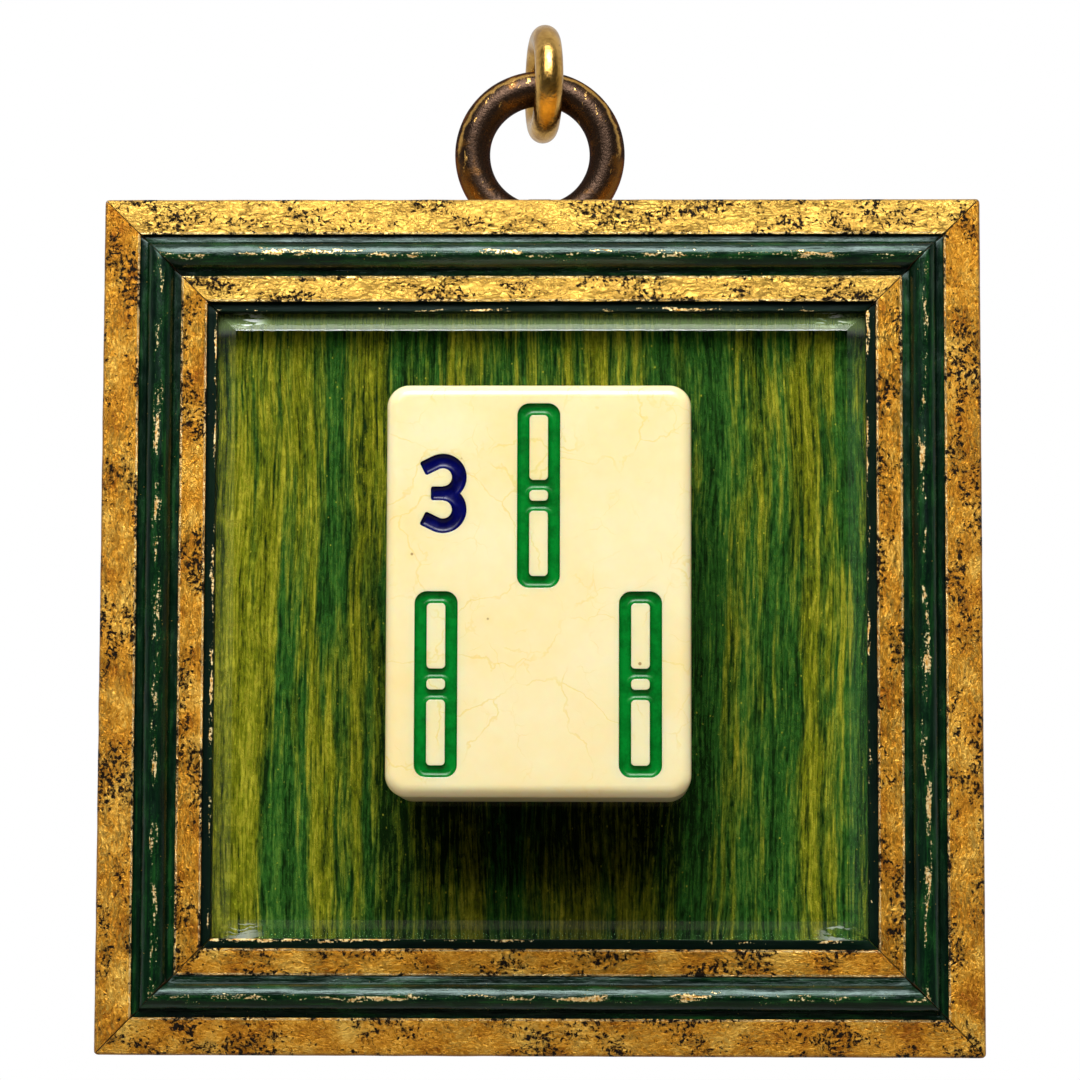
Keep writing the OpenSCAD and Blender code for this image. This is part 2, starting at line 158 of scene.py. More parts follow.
class FinishColours(PropertyGroup):
    """Colours of the finishes"""

    gold_pale: tint("Pale gold", "Pale patches of the gold leaf", 0.98, 0.60, 0.11)
    # painted light: the top rail's gold is paler because it faces the lamp above
    gold_top: tint("Top gold", "Gold leaf of the top rail, paler than the rest", 0.99, 0.68, 0.15)
    # used for rubbed gold on the lacquer and for the painted highlight along the gilt arrises
    rubbed_gold_and_painted_highlight: tint("Bright gold", "Burnished arrises and rubbed spots", 0.98, 0.80, 0.42)
    gold: tint("Gold", "Gold leaf", 0.72, 0.315, 0.022)
    gold_deep: tint("Deep gold", "Gold leaf worn thin", 0.34, 0.105, 0.005)
    bole: tint("Bole", "Brown ground under the gold leaf", 0.10, 0.036, 0.007)
    chip: tint("Chip", "Dark ground where the gold leaf is lost", 0.012, 0.007, 0.003)
    lacquer: tint("Lacquer", "Green lacquer of the bead", 0.0015, 0.015, 0.004)
    lacquer_dark: tint("Dark lacquer", "Hollows of the lacquer and the sight edge", 0.001, 0.005, 0.003)
    lacquer_bright: tint("Bright lacquer", "Green lacquer where it is thin", 0.010, 0.070, 0.010)
    lacquer_gloss: tint("Lacquer gloss", "Tint of the light on the lacquer", 0.72, 0.95, 0.90)
    bare_wood: tint("Bare wood", "Back of the rails", 0.42, 0.27, 0.14)
    bare_wood_dark: tint("Bare wood grain", "Grain of the bare wood", 0.23, 0.13, 0.06)
    glass: tint("Glass", "Pane", 0.95, 0.98, 0.96)
    haze: tint("Haze", "Ground bevel of the pane", 0.90, 0.98, 0.92)
    # painted light: the upper bevel gets a bright green haze, as if it caught the lamp over the panel's
    # green
    painted_light_haze_top: tint("Top haze", "Upper bevel of the pane, which shows the panel's green", 0.66, 0.95, 0.36)
    # partly painted shade: the cut edges are made dark as if shaded in the rebate
    edge: tint("Glass edge", "Cut edges of the pane", 0.030, 0.055, 0.022)
    edge_dark: tint("Dark glass edge", "Hollows of the cut edges of the pane", 0.012, 0.025, 0.010)
    stain_dark: tint("Dark stain", "Pores of the stained panel", 0.003, 0.012, 0.001)
    stain_green: tint("Green stain", "Green streaks of the stained panel", 0.016, 0.070, 0.008)
    stain_leaf: tint("Leaf stain", "Bright green streaks of the stained panel", 0.085, 0.160, 0.018)
    stain_olive: tint("Olive stain", "Yellow streaks of the stained panel", 0.115, 0.122, 0.003)
    stain_straw: tint("Straw stain", "Pale streaks of the stained panel", 0.33, 0.28, 0.020)
    board: tint("Board", "Backing board", 0.24, 0.135, 0.06)
    board_dark: tint("Board fibre", "Fibres of the backing board", 0.10, 0.052, 0.022)
    cream: tint("Cream", "Tile", 0.93, 0.81, 0.49)
    cream_warm: tint("Warm cream", "Aged patches of the tile", 0.93, 0.74, 0.35)
    craze: tint("Craze", "Fine cracks in the tile", 0.86, 0.67, 0.21)
    speck: tint("Speck", "Brown specks in the tile", 0.30, 0.13, 0.02)
    bond: tint("Bond", "Clear adhesive under the tile", 0.90, 0.88, 0.78)
    enamel_green: tint("Green enamel", "Fill of the sticks", 0.0, 0.195, 0.018)
    enamel_green_dark: tint("Dark green enamel", "Thick fill of the sticks", 0.0, 0.105, 0.008)
    enamel_blue: tint("Blue enamel", "Fill of the numeral", 0.0, 0.001, 0.085)
    enamel_blue_dark: tint("Dark blue enamel", "Thick fill of the numeral", 0.0, 0.0, 0.035)
    steel: tint("Steel", "Nails and points", 0.50, 0.50, 0.50)
    steel_dark: tint("Dull steel", "Tarnish on the nails and points", 0.20, 0.19, 0.18)
    brass: tint("Brass", "Polished link", 0.80, 0.48, 0.13)
    brass_deep: tint("Deep brass", "Shaded and handled brass", 0.48, 0.25, 0.045)
    # partly painted shade: nearly black, so the strap's knuckle over the top rail reads as shade at the
    # ring's foot
    brass_aged: tint("Aged brass", "Strap and screw", 0.085, 0.05, 0.022)
    pit: tint("Pit", "Pits in the brass", 0.05, 0.03, 0.012)
    bronze: tint("Bronze", "Patina of the ring", 0.050, 0.030, 0.020)
    bronze_warm: tint("Warm bronze", "Brown patches of the ring", 0.22, 0.095, 0.020)
    bronze_rim: tint("Bronze rim", "Tint of the ring where it is seen edge on", 0.30, 0.20, 0.13)
    # also the colour of the painted highlight in the ring's upper rim line
    bronze_rubbed: tint("Rubbed bronze", "Rim of the ring where it is rubbed", 0.72, 0.42, 0.12)


class StageSettings(PropertyGroup):
    """Camera, lamps and floor"""

    camera_place: FloatVectorProperty(
        name="Camera place", description="Where the camera stands", size=3, precision=5,
        default=(6.747 * MM, -304.17 * MM, 9.394 * MM), subtype="TRANSLATION", unit="LENGTH")
    camera_yaw: angle("Camera yaw", "Turn of the camera to the left", 1.3037)
    camera_pitch: angle("Camera pitch", "Upward tilt of the camera", 5.5569)
    camera_roll: angle("Camera roll", "Turn of the camera about its own axis", 0.1741)
    camera_lens: level("Camera lens", "Focal length for a sensor 36 mm wide", 133.333)
    aim_height: length("Aim height", "Height that the lamps point at", 34)
    key_distance: length("Key distance", "Distance of the key lamp", 450)
    key_size: length("Key size", "Side of the key lamp", 420)
    core_size: length("Core size", "Side of the brighter middle of the key lamp", 190)
    core_gap: length("Core gap", "Distance of the brighter middle in front of the key lamp", 5)
    key_height: angle("Key height", "Height of the key lamp above the horizon", 44)
    key_side: angle("Key side", "Turn of the key lamp to the left", 4)
    key_power: level("Key power", "Power of the key lamp in watts", 2.0)
    core_power: level("Core power", "Power of the key lamp's middle in watts", 1.35)
    back_tone: level("Back tone", "Brightness of the tent beside and behind the ornament", 0.55)
    low_tone: level("Low tone", "Brightness of the table below and in front of the ornament", 0.24)
    low_tint: tint("Low tint", "Colour of the table below and in front of the ornament", 1.0, 0.86, 0.62)
    front_tone: level("Front tone", "Brightness of the dim studio in front of the ornament", 0.06)
    floor_drop: length("Floor drop", "Distance of the floor below the hanging ornament", 60)
    floor_r: length("Floor radius", "Radius of the floor", 450)
    floor_white: level("Floor white", "Colour of the floor", 0.8)


class Nodes:
    """A node tree while it is made. Each method adds a node and returns its output."""

    def __init__(self, tree):
        self.tree = tree
        tree.nodes.clear()

    def node(self, kind, **settings):
        made = self.tree.nodes.new(kind)
        for key, value in settings.items():
            setattr(made, key, value)
        return made

    def feed(self, socket, value):
        """Links an output to a socket, or sets the socket to a number, vector or colour."""
        if isinstance(value, bpy.types.NodeSocket):
            self.tree.links.new(value, socket)
        elif socket.type == "RGBA":
            socket.default_value = (*value[:3], 1.0)
        else:
            socket.default_value = value

    def placed(self, place, scale=(1, 1, 1), shift=(0, 0, 0), turn=(0, 0, 0)):
        made = self.node("ShaderNodeMapping")
        self.feed(made.inputs["Vector"], place)
        self.feed(made.inputs["Scale"], scale)
        self.feed(made.inputs["Location"], shift)
        self.feed(made.inputs["Rotation"], turn)
        return made.outputs["Vector"]

    def solid_mm(self, centre=(0, 0, 0)):
        """Place in the solid, in millimetres from a centre given in metres."""
        place = self.node("ShaderNodeTexCoord").outputs["Object"]
        return self.placed(place, (1 / MM,) * 3, [-c / MM for c in centre])

    def rail_mm(self):
        """Place on a rail, in millimetres along it and across its section."""
        place = self.node("ShaderNodeUVMap", uv_map="rail").outputs["UV"]
        return self.placed(place, (1 / MM,) * 3)

    def split(self, vector):
        made = self.node("ShaderNodeSeparateXYZ")
        self.feed(made.inputs[0], vector)
        return made.outputs["X"], made.outputs["Y"], made.outputs["Z"]

    def math(self, operation, first, second=0.0, clamp=False):
        made = self.node("ShaderNodeMath", operation=operation, use_clamp=clamp)
        self.feed(made.inputs[0], first)
        self.feed(made.inputs[1], second)
        return made.outputs[0]

    def total(self, *shares):
        """Sum of values, each given with its weight."""
        sum_of = 0.0
        for value, weight in shares:
            made = self.node("ShaderNodeMath", operation="MULTIPLY_ADD")
            self.feed(made.inputs[0], value)
            self.feed(made.inputs[1], weight)
            self.feed(made.inputs[2], sum_of)
            sum_of = made.outputs[0]
        return sum_of

    def span(self, value, low, high):
        """0 at low, 1 at high and smooth between, where low may be the larger."""
        made = self.node("ShaderNodeMapRange", interpolation_type="SMOOTHSTEP")
        self.feed(made.inputs["Value"], value)
        self.feed(made.inputs["From Min"], low)
        self.feed(made.inputs["From Max"], high)
        return made.outputs["Result"]

    def around(self, value, middle, reach):
        """1 where a value is at the middle, falling to 0 at reach from it."""
        return self.span(self.math("ABSOLUTE", self.math("SUBTRACT", value, middle)), reach, 0.0)

    def nearest(self, value, middles, reach):
        """1 where a value is at any of the middles, falling to 0 at reach from each."""
        share = self.around(value, middles[0], reach)
        for middle in middles[1:]:
            share = self.math("MAXIMUM", share, self.around(value, middle, reach))
        return share

    def noise(self, place, scale, detail=2.0, roughness=0.5, distortion=0.0):
        made = self.node("ShaderNodeTexNoise")
        self.feed(made.inputs["Vector"], place)
        self.feed(made.inputs["Scale"], scale)
        self.feed(made.inputs["Detail"], detail)
        self.feed(made.inputs["Roughness"], roughness)
        self.feed(made.inputs["Distortion"], distortion)
        return made.outputs["Fac"]

    def cells(self, place, scale, feature="F1", output="Distance"):
        made = self.node("ShaderNodeTexVoronoi", feature=feature)
        self.feed(made.inputs["Vector"], place)
        self.feed(made.inputs["Scale"], scale)
        return made.outputs[output]

    def drifted(self, place, scale, amount, detail=2.0):
        """A place moved about by noise, by up to about amount."""
        made = self.node("ShaderNodeTexNoise")
        self.feed(made.inputs["Vector"], place)
        self.feed(made.inputs["Scale"], scale)
        self.feed(made.inputs["Detail"], detail)
        centred = self.node("ShaderNodeVectorMath", operation="SUBTRACT")
        self.feed(centred.inputs[0], made.outputs["Color"])
        self.feed(centred.inputs[1], (0.5, 0.5, 0.5))
        moved = self.node("ShaderNodeVectorMath", operation="MULTIPLY_ADD")
        self.feed(moved.inputs[0], centred.outputs[0])
        self.feed(moved.inputs[1], (2 * amount,) * 3)
        self.feed(moved.inputs[2], place)
        return moved.outputs[0]

    def mixed(self, share, first, second):
        made = self.node("ShaderNodeMix", data_type="RGBA")
        self.feed(made.inputs["Factor"], share)
        self.feed(made.inputs[6], first)
        self.feed(made.inputs[7], second)
        return made.outputs[2]

    def ramp(self, share, *stops):
        """A colour from stops, each a position and a colour."""
        made = self.node("ShaderNodeValToRGB")
        marks = made.color_ramp.elements
        while len(marks) < len(stops):
            marks.new(1.0)
        for mark, (position, colour) in zip(marks, stops):
            mark.position = position
            mark.color = (*colour, 1.0)
        self.feed(made.inputs["Fac"], share)
        return made.outputs["Color"]

    def bump(self, height, distance, strength=1.0):
        made = self.node("ShaderNodeBump")
        self.feed(made.inputs["Height"], height)
        self.feed(made.inputs["Distance"], distance)
        self.feed(made.inputs["Strength"], strength)
        return made.outputs["Normal"]


class Finish(Nodes):
    """A node material while it is made."""

    def __init__(self, name):
        self.material = bpy.data.materials.new(name)
        self.material.use_nodes = True
        super().__init__(self.material.node_tree)
        self.output = self.node("ShaderNodeOutputMaterial")

    def surface(self, **sockets):
        """The shader, with a value for each socket named in lower case with underscores."""
        made = self.node("ShaderNodeBsdfPrincipled")
        names = {socket.name.lower().replace(" ", "_"): socket for socket in made.inputs}
        for name, value in sockets.items():
            self.feed(names[name], value)
        return made.outputs["BSDF"]

    def done(self, shader):
        self.feed(self.output.inputs["Surface"], shader)
        return self.material


def gilt_leaf(colours, section):
    """Crushed gold leaf on a dark ground, lost in clusters of specks and in chips along the arrises, with
    painted highlights along the arrises and crease ridges and a painted lighter top rail.
    """
    f = Finish("gilt_leaf")
    rail = f.rail_mm()
    along, across, _ = f.split(rail)
    drift = f.drifted(rail, 0.7, 0.4)
    crush = f.noise(f.placed(drift, (0.7, 1.2, 1)), 4.2, 4, 0.66, 0.9)
    crease = f.noise(f.placed(drift, (0.30, 1.2, 1)), 1.5, 4, 0.62, 0.7)
    creased = f.span(f.noise(f.placed(rail, (0.4, 1, 1)), 0.35, 3, 0.6), 0.40, 0.60)
    ridge = f.math("MULTIPLY", f.around(crease, 0.5, 0.026), creased)
    tone = f.noise(rail, 0.3, 3, 0.6)
    crowd = f.span(f.noise(f.placed(rail, (0.45, 1.0, 1)), 0.42, 4, 0.6), 0.44, 0.60)
    rim = f.around(across, 0.0, 0.25)
    wall = f.span(across, 0.0, -0.8)
    edges = section.green_u / MM, section.inner_u / MM, section.sight_u / MM
    arris = f.nearest(across, edges, 0.4)
    # painted highlight: a thin pale line just beside each arris
    painted_arris_highlight = f.math("MULTIPLY", f.nearest(across, (edges[0] - 0.12, edges[1] + 0.12, edges[2] - 0.12), 0.13),
                   f.span(crush, 0.36, 0.56))
    specks = f.total((f.noise(drift, 3.1, 5, 0.68), 1.0), (crowd, 0.14), (wall, -0.04))
    chips = f.total((f.noise(drift, 1.3, 5, 0.72), 1.0), (crowd, 0.07), (arris, 0.07), (rim, 0.03),
                    (wall, -0.02))
    lost = f.math("MAXIMUM", f.span(specks, 0.655, 0.67), f.span(chips, 0.665, 0.68))
    thin = f.math("MAXIMUM", f.span(specks, 0.57, 0.665), f.span(chips, 0.58, 0.675))
    leaf = f.ramp(f.total((crush, 0.5), (tone, 0.6)),
                  (0.42, colours.gold_deep), (0.55, colours.gold), (0.70, colours.gold_pale))
    # painted light: the top rail's leaf is mixed toward a paler gold, as if lit from above
    top = f.span(along, RAIL_APART / MM / 2 - 10.0, RAIL_APART / MM / 2 - 20.0)
    leaf = f.mixed(f.math("MULTIPLY", top, 0.50), leaf, colours.gold_top)
    # partly painted highlight: raised crease ridges are mixed toward pale gold, as if catching the light
    leaf = f.mixed(f.math("MULTIPLY", ridge, 0.8), leaf, colours.gold_pale)
    leaf = f.mixed(f.math("MULTIPLY", thin, 0.45), leaf, colours.bole)
    leaf = f.mixed(f.math("MULTIPLY", rim, 0.6), leaf, colours.bole)
    leaf = f.mixed(f.math("MULTIPLY", painted_arris_highlight, 0.7), leaf, colours.rubbed_gold_and_painted_highlight)
    relief = f.total((crush, 0.8), (ridge, 0.8), (lost, -0.5))
    return f.done(f.surface(
        base_color=f.mixed(lost, leaf, colours.chip),
        metallic=f.total((lost, -0.5), (1.0, 0.62)),
        roughness=f.total((crush, 0.2), (lost, 0.15), (painted_arris_highlight, -0.1), (1.0, 0.20)),
        specular_ior_level=f.total((lost, -0.1), (1.0, 0.2)),
        normal=f.bump(relief, 0.19 * MM)))


def green_lacquer(colours, section):
    """Glossy green lacquer with brush streaks, rubbed through to gold along the bead's crest."""
    f = Finish("green_lacquer")
    rail = f.rail_mm()
    _, across, _ = f.split(rail)
    streak = f.noise(f.placed(rail, (0.06, 1.5, 1)), 1.5, 4, 0.62, 0.3)
    mottle = f.noise(f.placed(rail, (0.5, 1.3, 1)), 0.8, 4, 0.65)
    brush = f.noise(f.placed(rail, (0.12, 5.0, 1)), 1.6, 3, 0.6)
    wave = f.noise(f.placed(rail, (0.16, 0.6, 1)), 1.0, 2, 0.5)
    drift = f.drifted(rail, 0.5, 0.3)
    patch = f.noise(f.placed(drift, (0.30, 1.5, 1)), 0.9, 4, 0.68)
    broken = f.noise(rail, 4.5, 4, 0.65)
    crest = f.around(across, section.bead_u / MM, 0.75)
    sight = f.around(across, section.rail_w / MM - 0.1, 0.4)
    flecks = f.total((patch, 1.0), (broken, 0.42), (crest, 0.19), (sight, 0.17))
    rubbed = f.span(flecks, 0.945, 0.975)
    near = f.span(flecks, 0.80, 0.95)
    dust = f.span(f.cells(rail, 1.6), 0.060, 0.035)
    colour = f.ramp(f.total((streak, 0.8), (mottle, 0.5)),
                    (0.52, colours.lacquer_dark), (0.68, colours.lacquer), (0.90, colours.lacquer_bright))
    colour = f.mixed(f.math("MULTIPLY", near, 0.35), colour, colours.lacquer_bright)
    dark = f.span(across, (section.sight_u - 0.1 * MM) / MM, section.sight_u / MM)
    colour = f.mixed(f.math("MULTIPLY", dark, 0.85), colour, colours.lacquer_dark)
    colour = f.mixed(f.math("MULTIPLY", dust, 0.3), colour, colours.gold_pale)
    colour = f.mixed(rubbed, colour, f.ramp(broken, (0.42, colours.gold), (0.60, colours.rubbed_gold_and_painted_highlight)))
    relief = f.total((brush, 0.2), (mottle, 0.6), (wave, 1.6), (rubbed, -0.3))
    return f.done(f.surface(
        base_color=colour,
        metallic=f.math("MULTIPLY", rubbed, 0.4),
        roughness=f.total((brush, 0.14), (mottle, 0.5), (rubbed, 0.1), (dark, 0.26), (1.0, -0.10)),
        specular_ior_level=f.total((dark, -0.36), (1.0, 0.45)),
        specular_tint=colours.lacquer_gloss,
        normal=f.bump(relief, 0.10 * MM)))


def bare_wood(colours):
    """Planed bare wood at the back of the rails, with grain along each rail."""
    f = Finish("bare_wood")
    rail = f.rail_mm()
    drift = f.drifted(f.placed(rail, (0.12, 1.0, 1)), 0.5, 0.6)
    grain = f.noise(f.placed(drift, (0.3, 3.2, 1)), 1.3, 5, 0.62)
    pores = f.span(f.noise(f.placed(rail, (0.5, 7.0, 1)), 1.6, 2, 0.5), 0.62, 0.72)
    stain = f.noise(rail, 0.12, 3, 0.6)
    colour = f.ramp(f.total((grain, 0.7), (stain, 0.4)),
                    (0.40, colours.bare_wood_dark), (0.66, colours.bare_wood))
    colour = f.mixed(f.math("MULTIPLY", pores, 0.5), colour, colours.bole)
    return f.done(f.surface(
        base_color=colour,
        roughness=f.total((grain, 0.2), (1.0, 0.55)),
        normal=f.bump(f.total((grain, 0.6), (pores, -0.4)), 0.08 * MM)))


def lit_through(f, colour, glass):
    """Glass that lets the lamps shine straight through it."""
    clear = f.node("ShaderNodeBsdfTransparent")
    f.feed(clear.inputs["Color"], colour)
    blend = f.node("ShaderNodeMixShader")
    f.feed(blend.inputs["Fac"], f.node("ShaderNodeLightPath").outputs["Is Shadow Ray"])
    f.feed(blend.inputs[1], glass)
    f.feed(blend.inputs[2], clear.outputs[0])
    return f.done(blend.outputs[0])


def pane_glass(colours, centre):
    """Polished glass with a faint ripple, whose back lies on the panel and hardly shines."""
    f = Finish("pane_glass")
    place = f.solid_mm(centre)
    _, depth, _ = f.split(place)
    smear = f.noise(f.drifted(place, 0.2, 1.5), 0.3, 3, 0.6)
    return lit_through(f, colours.glass, f.surface(
        base_color=colours.glass,
        transmission_weight=1.0,
        ior=1.5,
        specular_tint=f.mixed(f.span(depth, -0.1, 0.1), colours.glass, colours.edge),
        roughness=f.math("MULTIPLY", f.span(smear, 0.5, 0.75), 0.02),
        normal=f.bump(f.noise(place, 0.25, 1), 0.004 * MM)))


def bevel_glass(colours, centre, half_w, half_h):
    """The pane's ground bevel, duller than its face, with painted white glare near the corners above and
    below and a painted lighter green on the upper bevel.
    """
    f = Finish("bevel_glass")
    place = f.solid_mm(centre)
    side, _, up = f.split(place)
    off_side = f.math("ABSOLUTE", side)
    off_up = f.math("ABSOLUTE", up)
    side_share = f.math("DIVIDE", off_side, half_w / MM)
    up_share = f.math("DIVIDE", off_up, half_h / MM)
    along = f.math("MAXIMUM", f.math("SUBTRACT", half_w / MM, off_side),
                   f.math("SUBTRACT", half_h / MM, off_up))
    ground = f.noise(f.placed(f.drifted(place, 0.5, 0.4), (0.35, 1, 2.2)), 1.2, 4, 0.65)
    # painted reflection: white glare patches near the corners of the top and bottom bevels
    painted_glare = f.math("MULTIPLY", f.around(along, 3.4, 1.8), f.span(ground, 0.48, 0.54))
    painted_glare = f.math("MULTIPLY", painted_glare, f.span(f.math("MAXIMUM", side_share, up_share), 0.905, 0.925))
    above_or_below = f.span(f.math("SUBTRACT", up_share, side_share), -0.01, 0.01)
    white = f.math("MULTIPLY", painted_glare, above_or_below)
    # painted light: the upper bevel is made hazier and green-tinted, lighter than the lower one
    top = f.span(up, 0.88 * half_h / MM, 0.92 * half_h / MM)
    green = f.math("MULTIPLY", top, f.span(white, 1.0, 0.0))
    return lit_through(f, colours.glass, f.surface(
        base_color=f.mixed(green, colours.haze, colours.painted_light_haze_top),
        transmission_weight=f.total((white, -0.7), (ground, -0.02), (top, -0.15), (1.0, 1.0)),
        ior=1.5,
        specular_ior_level=f.total((top, 0.3), (1.0, 0.2)),
        roughness=f.total((ground, 0.06), (white, 0.3)),
        normal=f.bump(ground, 0.01 * MM)))


def ground_edge(colours):
    """The pane's cut edges, ground dull, and painted dark as the shade they lie in within the rebate."""
    f = Finish("ground_edge")
    place = f.solid_mm()
    grit = f.noise(place, 3.0, 4, 0.65)
    return f.done(f.surface(
        base_color=f.ramp(grit, (0.36, colours.edge_dark), (0.64, colours.edge)),
        roughness=f.total((grit, 0.3), (1.0, 0.4)),
        specular_ior_level=0.1,
        normal=f.bump(grit, 0.02 * MM)))


def stained_veneer(colours):
    """Wood stained green, with upright streaks and fibres from dark green to straw, and painted shade
    beside the tile and a painted shadow under it.
    """
    f = Finish("stained_veneer")
    place = f.solid_mm()
    side, _, up = f.split(place)
    flow = f.drifted(f.placed(place, (1, 0.1, 0.3)), 0.12, 1.2)
    band = f.noise(f.placed(flow, (0.42, 1, 0.06)), 1.0, 3, 0.55)
    line = f.noise(f.placed(flow, (1.9, 1, 0.20)), 1.0, 4, 0.66)
    fibre = f.noise(f.placed(flow, (6.0, 1, 1.6)), 1.0, 4, 0.66)
    hairs = f.noise(f.placed(f.drifted(place, 1.6, 0.25), (3.6, 1, 1.6)), 1.0, 3, 0.62, 0.5)
    curl = f.math("MULTIPLY", f.around(hairs, 0.5, 0.035), f.span(fibre, 0.36, 0.60))
    glints = f.math("MULTIPLY", f.span(f.cells(f.placed(place, (1, 0.1, 0.7)), 1.7), 0.13, 0.06),
                    f.span(hairs, 0.42, 0.60))
    left = f.span(side, -14.0, -23.0)
    hue = f.total((band, 1.0), (line, 0.45), (fibre, 0.25), (left, 0.04))
    # beside and under darken the stain next to the tile's sides and below it: painted shade and painted
    # shadow of the tile
    beside = f.around(f.math("ABSOLUTE", side), 11.0, 4.5)
    under = f.math("MULTIPLY", f.span(f.math("ABSOLUTE", side), 14.0, 8.0), f.around(up, 18.0, 8.0))
    tone = f.total((line, 1.4), (fibre, 1.5), (hairs, 0.7), (curl, 0.30), (beside, -0.14), (under, -0.30),
                   (1.0, -1.31))
    greens = f.ramp(tone, (0.16, colours.stain_dark), (0.52, colours.stain_green),
                    (0.95, colours.stain_leaf))
    yellows = f.ramp(tone, (0.12, colours.stain_dark), (0.52, colours.stain_olive),
                     (0.95, colours.stain_straw))
    colour = f.mixed(f.span(hue, 0.78, 0.98), greens, yellows)
    colour = f.mixed(f.math("MULTIPLY", glints, 0.8), colour, colours.stain_straw)
    return f.done(f.surface(
        base_color=colour,
        specular_ior_level=0.03,
        roughness=f.total((fibre, 0.3), (1.0, 0.45)),
        normal=f.bump(f.total((fibre, 0.6), (hairs, 0.7), (curl, 0.6)), 0.12 * MM)))


def backing_board(colours):
    """Brown pressed board with short fibres."""
    f = Finish("backing_board")
    place = f.solid_mm()
    fibre = f.noise(f.placed(f.drifted(place, 0.8, 0.6), (2.4, 1.0, 0.9)), 1.3, 5, 0.68)
    stain = f.noise(place, 0.08, 4, 0.6)
    flakes = f.span(f.cells(f.placed(place, (1.0, 1.0, 0.45)), 1.3), 0.25, 0.1)
    colour = f.ramp(f.total((fibre, 0.7), (stain, 0.4)),
                    (0.40, colours.board_dark), (0.68, colours.board))
    colour = f.mixed(f.math("MULTIPLY", flakes, 0.3), colour, colours.bare_wood)
    return f.done(f.surface(
        base_color=colour,
        roughness=f.total((fibre, 0.25), (1.0, 0.6)),
        normal=f.bump(f.total((fibre, 0.6), (flakes, 0.2)), 0.08 * MM)))


def cream_resin(colours):
    """Old cream tile, warmer in patches, finely crazed and specked."""
    f = Finish("cream_resin")
    place = f.solid_mm()
    patch = f.noise(f.drifted(place, 0.08, 3.0), 0.10, 4, 0.6)
    cloud = f.noise(place, 0.5, 4, 0.6)
    drift = f.drifted(place, 0.35, 1.5, 4)
    wide = f.span(f.cells(drift, 0.16, "DISTANCE_TO_EDGE"), 0.014, 0.002)
    small = f.span(f.cells(drift, 0.45, "DISTANCE_TO_EDGE"), 0.030, 0.004)
    shown = f.span(f.noise(place, 0.20, 3, 0.6), 0.40, 0.60)
    hidden = f.span(f.noise(place, 0.33, 3, 0.6), 0.50, 0.66)
    cracks = f.total((f.math("MULTIPLY", wide, shown), 0.60), (f.math("MULTIPLY", small, hidden), 0.36))
    spots = f.span(f.cells(place, 0.24), 0.036, 0.020)
    halo = f.span(f.cells(place, 0.24), 0.16, 0.02)
    colour = f.ramp(f.total((patch, 0.8), (cloud, 0.25)), (0.40, colours.cream), (0.68, colours.cream_warm))
    colour = f.mixed(cracks, colour, colours.craze)
    colour = f.mixed(f.math("MULTIPLY", halo, 0.22), colour, colours.craze)
    colour = f.mixed(f.math("MULTIPLY", spots, 0.75), colour, colours.speck)
    return f.done(f.surface(
        base_color=colour,
        roughness=f.total((cloud, 0.10), (1.0, 0.17)),
        subsurface_weight=0.5,
        subsurface_radius=(1.0, 0.65, 0.36),
        subsurface_scale=1.0 * MM,
        coat_weight=0.2,
        coat_roughness=0.1,
        normal=f.bump(f.total((cloud, 0.4), (cracks, -0.6)), 0.015 * MM)))


def clear_bond(colours):
    """Clear cured adhesive with small bubbles."""
    f = Finish("clear_bond")
    place = f.solid_mm()
    bubbles = f.span(f.cells(place, 1.4), 0.30, 0.12)
    return f.done(f.surface(
        base_color=f.mixed(bubbles, colours.bond, colours.glass),
        transmission_weight=0.7,
        ior=1.48,
        roughness=f.total((bubbles, 0.2), (1.0, 0.15)),
        normal=f.bump(f.noise(place, 0.8, 3), 0.03 * MM)))


def enamel(name, colour, dark):
    """Glossy paint in a groove, darker in patches."""
    f = Finish(name)
    place = f.solid_mm()
    pool = f.noise(f.drifted(place, 0.6, 0.5), 0.9, 4, 0.6)
    grain = f.noise(place, 5.0, 3, 0.6)
    share = f.total((pool, 0.7), (grain, 0.3))
    return f.done(f.surface(
        base_color=f.ramp(share, (0.36, dark), (0.58, colour)),
        roughness=f.total((grain, 0.14), (1.0, 0.14)),
        specular_ior_level=0.3,
        normal=f.bump(f.total((pool, 0.6), (grain, 0.15)), 0.03 * MM)))


def nail_steel(colours):
    """Dull plated steel with tarnish and fine scratches."""
    f = Finish("nail_steel")
    place = f.solid_mm()
    tarnish = f.noise(f.drifted(place, 0.5, 0.8), 0.8, 4, 0.65)
    scratch = f.noise(f.placed(place, (9.0, 1.0, 1.2), turn=(0, 0.6, 0)), 1.0, 2, 0.5)
    return f.done(f.surface(
        base_color=f.ramp(tarnish, (0.40, colours.steel_dark), (0.62, colours.steel)),
        metallic=0.95,
        roughness=f.total((tarnish, -0.2), (scratch, 0.2), (1.0, 0.42)),
        normal=f.bump(f.total((scratch, 0.5), (tarnish, 0.3)), 0.02 * MM)))


def aged_brass(colours):
    """Brown aged brass with brighter scratches, made nearly black as painted shade at the ring's foot."""
    f = Finish("aged_brass")
    place = f.solid_mm()
    patina = f.noise(f.drifted(place, 0.5, 1.0), 0.7, 5, 0.65)
    scratch = f.noise(f.placed(place, (1.2, 7.0, 8.0), turn=(0.3, 0.4, 0)), 1.0, 3, 0.6)
    pits = f.span(f.cells(place, 2.2), 0.16, 0.08)
    colour = f.ramp(patina, (0.36, colours.pit), (0.60, colours.brass_aged))
    colour = f.mixed(f.span(scratch, 0.60, 0.76), colour, colours.brass_deep)
    colour = f.mixed(f.math("MULTIPLY", pits, 0.7), colour, colours.pit)
    return f.done(f.surface(
        base_color=colour,
        metallic=0.95,
        roughness=f.total((patina, 0.25), (1.0, 0.24)),
        normal=f.bump(f.total((scratch, 0.4), (pits, -0.5)), 0.03 * MM)))


